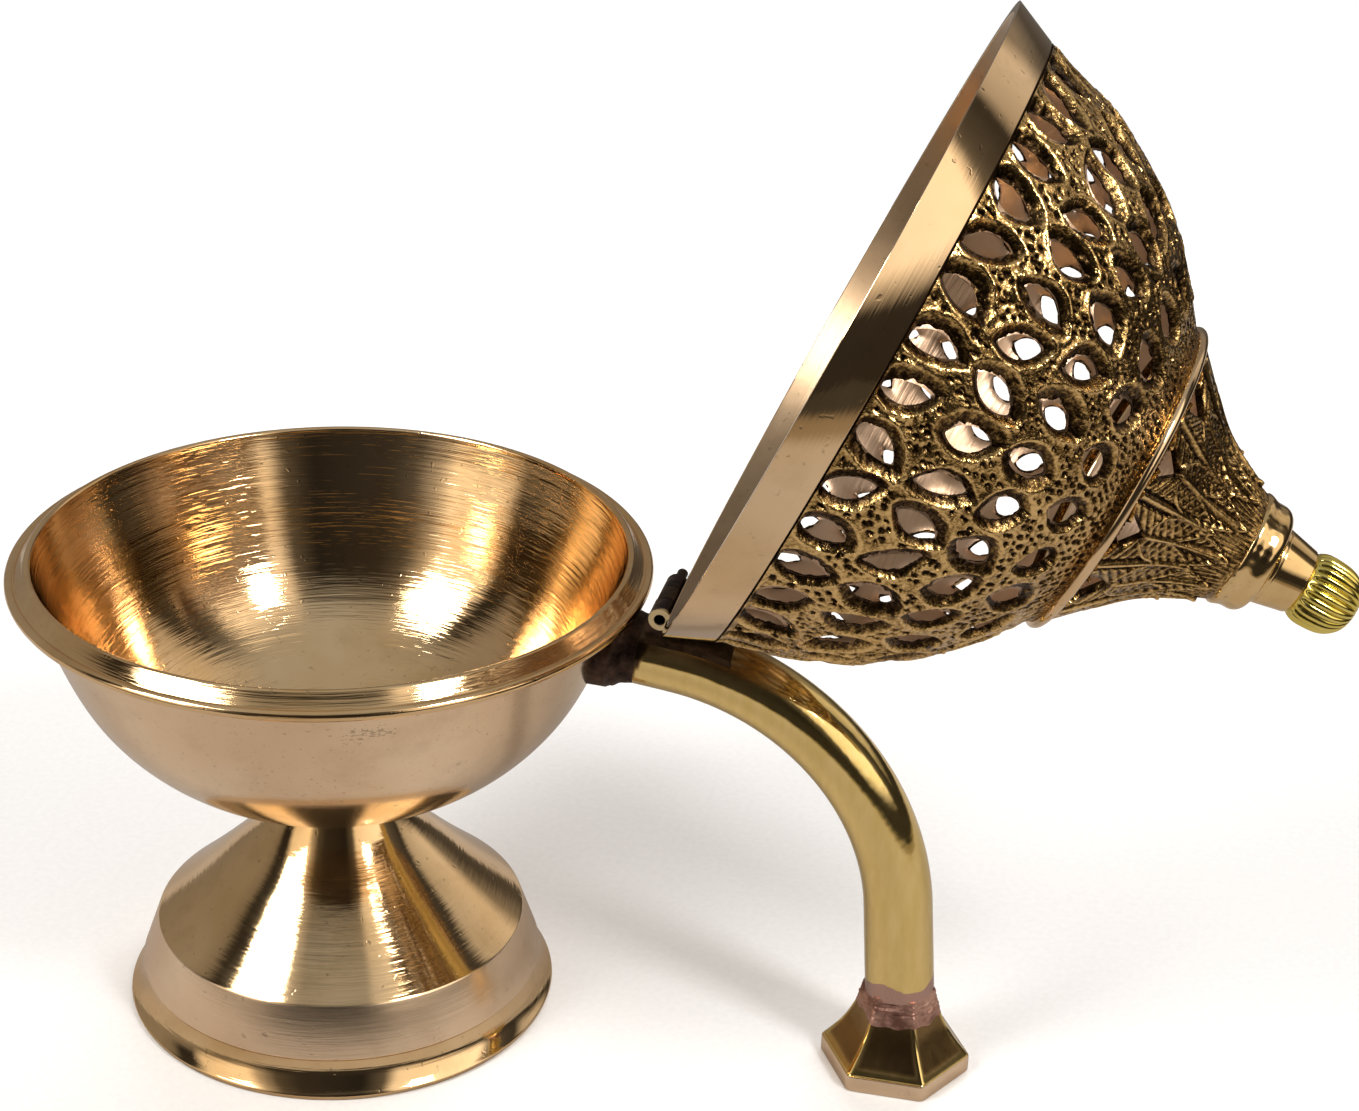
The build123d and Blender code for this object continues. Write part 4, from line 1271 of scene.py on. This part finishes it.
def look_along(forward, right, position):
    """A matrix for a camera or lamp that looks along forward, with its X axis along right."""
    forward, right = Vector(forward).normalized(), Vector(right).normalized()
    up = right.cross(forward)
    turn = Matrix((right, up, -forward)).transposed().to_4x4()
    return Matrix.Translation(position) @ turn


# The photograph's view: from a little to the right, looking down, slightly rolled. Metres, lens in mm.
VIEW_AZIMUTH = radians(11.51)
VIEW_ELEVATION = radians(25.97)
VIEW_ROLL = radians(1.883)
VIEW_TARGET = Vector((0.00024, 0.01076, 0.08009))
VIEW_DISTANCE = 0.4372
LENS_LENGTH = 74.6
SENSOR_WIDTH = 36.0


def add_camera():
    """The camera at the photograph's angle and distance."""
    level = Vector((cos(VIEW_AZIMUTH), sin(VIEW_AZIMUTH), 0))
    back = Vector((level.y, -level.x, 0))
    away = back * cos(VIEW_ELEVATION) + Vector((0, 0, sin(VIEW_ELEVATION)))
    forward = -away
    right = level * cos(VIEW_ROLL) + level.cross(forward) * sin(VIEW_ROLL)
    position = VIEW_TARGET + away * VIEW_DISTANCE
    data = bpy.data.cameras.new("photograph_view")
    data.lens = LENS_LENGTH
    data.sensor_width = SENSOR_WIDTH
    camera = bpy.data.objects.new("photograph_view", data)
    camera.matrix_world = look_along(forward, right, position)
    bpy.context.scene.collection.objects.link(camera)
    bpy.context.scene.camera = camera


# Name, position, target, size, power, and whether the metal mirrors it. Metres and watts.
LAMPS = [
    ("key_softbox", (-0.55, -0.45, 0.75), (0, 0, 0.05), (0.35, 0.35), 5, True),
    ("window", (0.6, -0.35, 0.75), (0, 0, 0.08), (0.16, 0.26), 4, True),
    ("back_softbox", (0.1, 0.9, 0.7), (0, 0, 0), (1.2, 0.5), 9, False),
]


def add_lamp(name, position, target, size, power, mirrored):
    """A rectangular lamp that faces its target."""
    data = bpy.data.lights.new(name, "AREA")
    data.shape = "RECTANGLE"
    data.size, data.size_y = size
    data.energy = power
    lamp = bpy.data.objects.new(name, data)
    lamp.visible_glossy = mirrored
    forward = Vector(target) - Vector(position)
    lamp.matrix_world = look_along(forward, forward.cross(Vector((0, 0, 1))), position)
    bpy.context.scene.collection.objects.link(lamp)


FLOOR_REACH = 0.42  # metres


def add_floor():
    """A plain pale sheet that the burner stands on."""
    mesh = bpy.data.meshes.new("studio_floor")
    corners = [(FLOOR_REACH * x, FLOOR_REACH * y, 0) for x, y in ((-1, -1), (1, -1), (1, 1), (-1, 1))]
    mesh.from_pydata(corners, [], [(0, 1, 2, 3)])
    mesh.materials.append(floor_paper())
    floor = bpy.data.objects.new("studio_floor", mesh)
    bpy.context.scene.collection.objects.link(floor)


# How bright the room is all round, as the metal mirrors it: (degrees from +X, brightness)
ROOM_PANELS = [
    (-180, 0.30), (-171, 0.24), (-165, 0.03), (-156, 0.03), (-149, 1.1), (-124, 1.4), (-118, 0.55),
    (-108, 0.10), (-96, 0.04), (-62, 0.02), (-50, 0.12), (-44, 1.1), (-28, 1.3), (3, 1.5), (9, 0.16),
    (14, 0.10), (28, 0.04), (34, 0.50), (54, 0.75), (62, 0.28), (100, 0.26), (180, 0.30),
]
# The same just above the horizon, below the panels
HORIZON = [(-180, 0.30), (-150, 0.26), (-110, 0.035), (60, 0.035), (110, 0.20), (180, 0.30)]
WALL_WARMTH = 0.12
CEILING_LEVEL = 0.42
CEILING_WARMTH = 0.03


def warm_grey(level, warmth):
    """A grey whose green is lower by the warmth and whose blue by twice that."""
    return level, level * (1 - warmth), level * (1 - 2 * warmth)


def add_world():
    """White behind the object for the camera; in the metal a dim warm room with pale panels and ceiling."""
    world = bpy.data.worlds.new("studio")
    bpy.context.scene.world = world
    world.use_nodes = True
    n = Nodes(world.node_tree)
    way = n.add("ShaderNodeTexCoord").outputs["Generated"]
    x, y, z = n.add("ShaderNodeSeparateXYZ", {0: way}).outputs
    turn = n.plus(0.5, n.math("ARCTAN2", y, x), 1 / (2 * pi))
    panels, horizon = [
        n.ramp(turn, *((degrees / 360 + 0.5, warm_grey(level, WALL_WARMTH)) for degrees, level in levels))
        for levels in (ROOM_PANELS, HORIZON)
    ]
    walls = n.mix(n.ramp(z, (0.07, 1.0), (0.25, 0.0)), panels, horizon)
    ceiling_share = n.ramp(z, (0.72, 0.0), (0.82, 0.4), (0.92, 1.0))
    everything = n.mix(ceiling_share, walls, warm_grey(CEILING_LEVEL, CEILING_WARMTH))
    room = n.add("ShaderNodeBackground", {0: everything, 1: 1.0})
    backdrop = n.tree.nodes["Background"]
    n.connect((1, 1, 1), backdrop.inputs[0])
    is_camera = n.add("ShaderNodeLightPath").outputs["Is Camera Ray"]
    both = n.add("ShaderNodeMixShader", {0: is_camera, 1: room.outputs[0], 2: backdrop.outputs[0]})
    n.connect(both.outputs[0], n.tree.nodes["World Output"].inputs[0])


bowl_cast()
pedestal_cast()
handle_tube()
handle_foot()
foot_braze()
root_braze()
lid_band()
lid_dome()
lid_neck()
neck_ring()
neck_end()
leaf_beads()
finial_collar()
finial_knob()
dress_cad_nodes()
add_camera()
add_floor()
add_world()
for lamp in LAMPS:
    add_lamp(*lamp)
bpy.context.scene.view_settings.view_transform = "Standard"
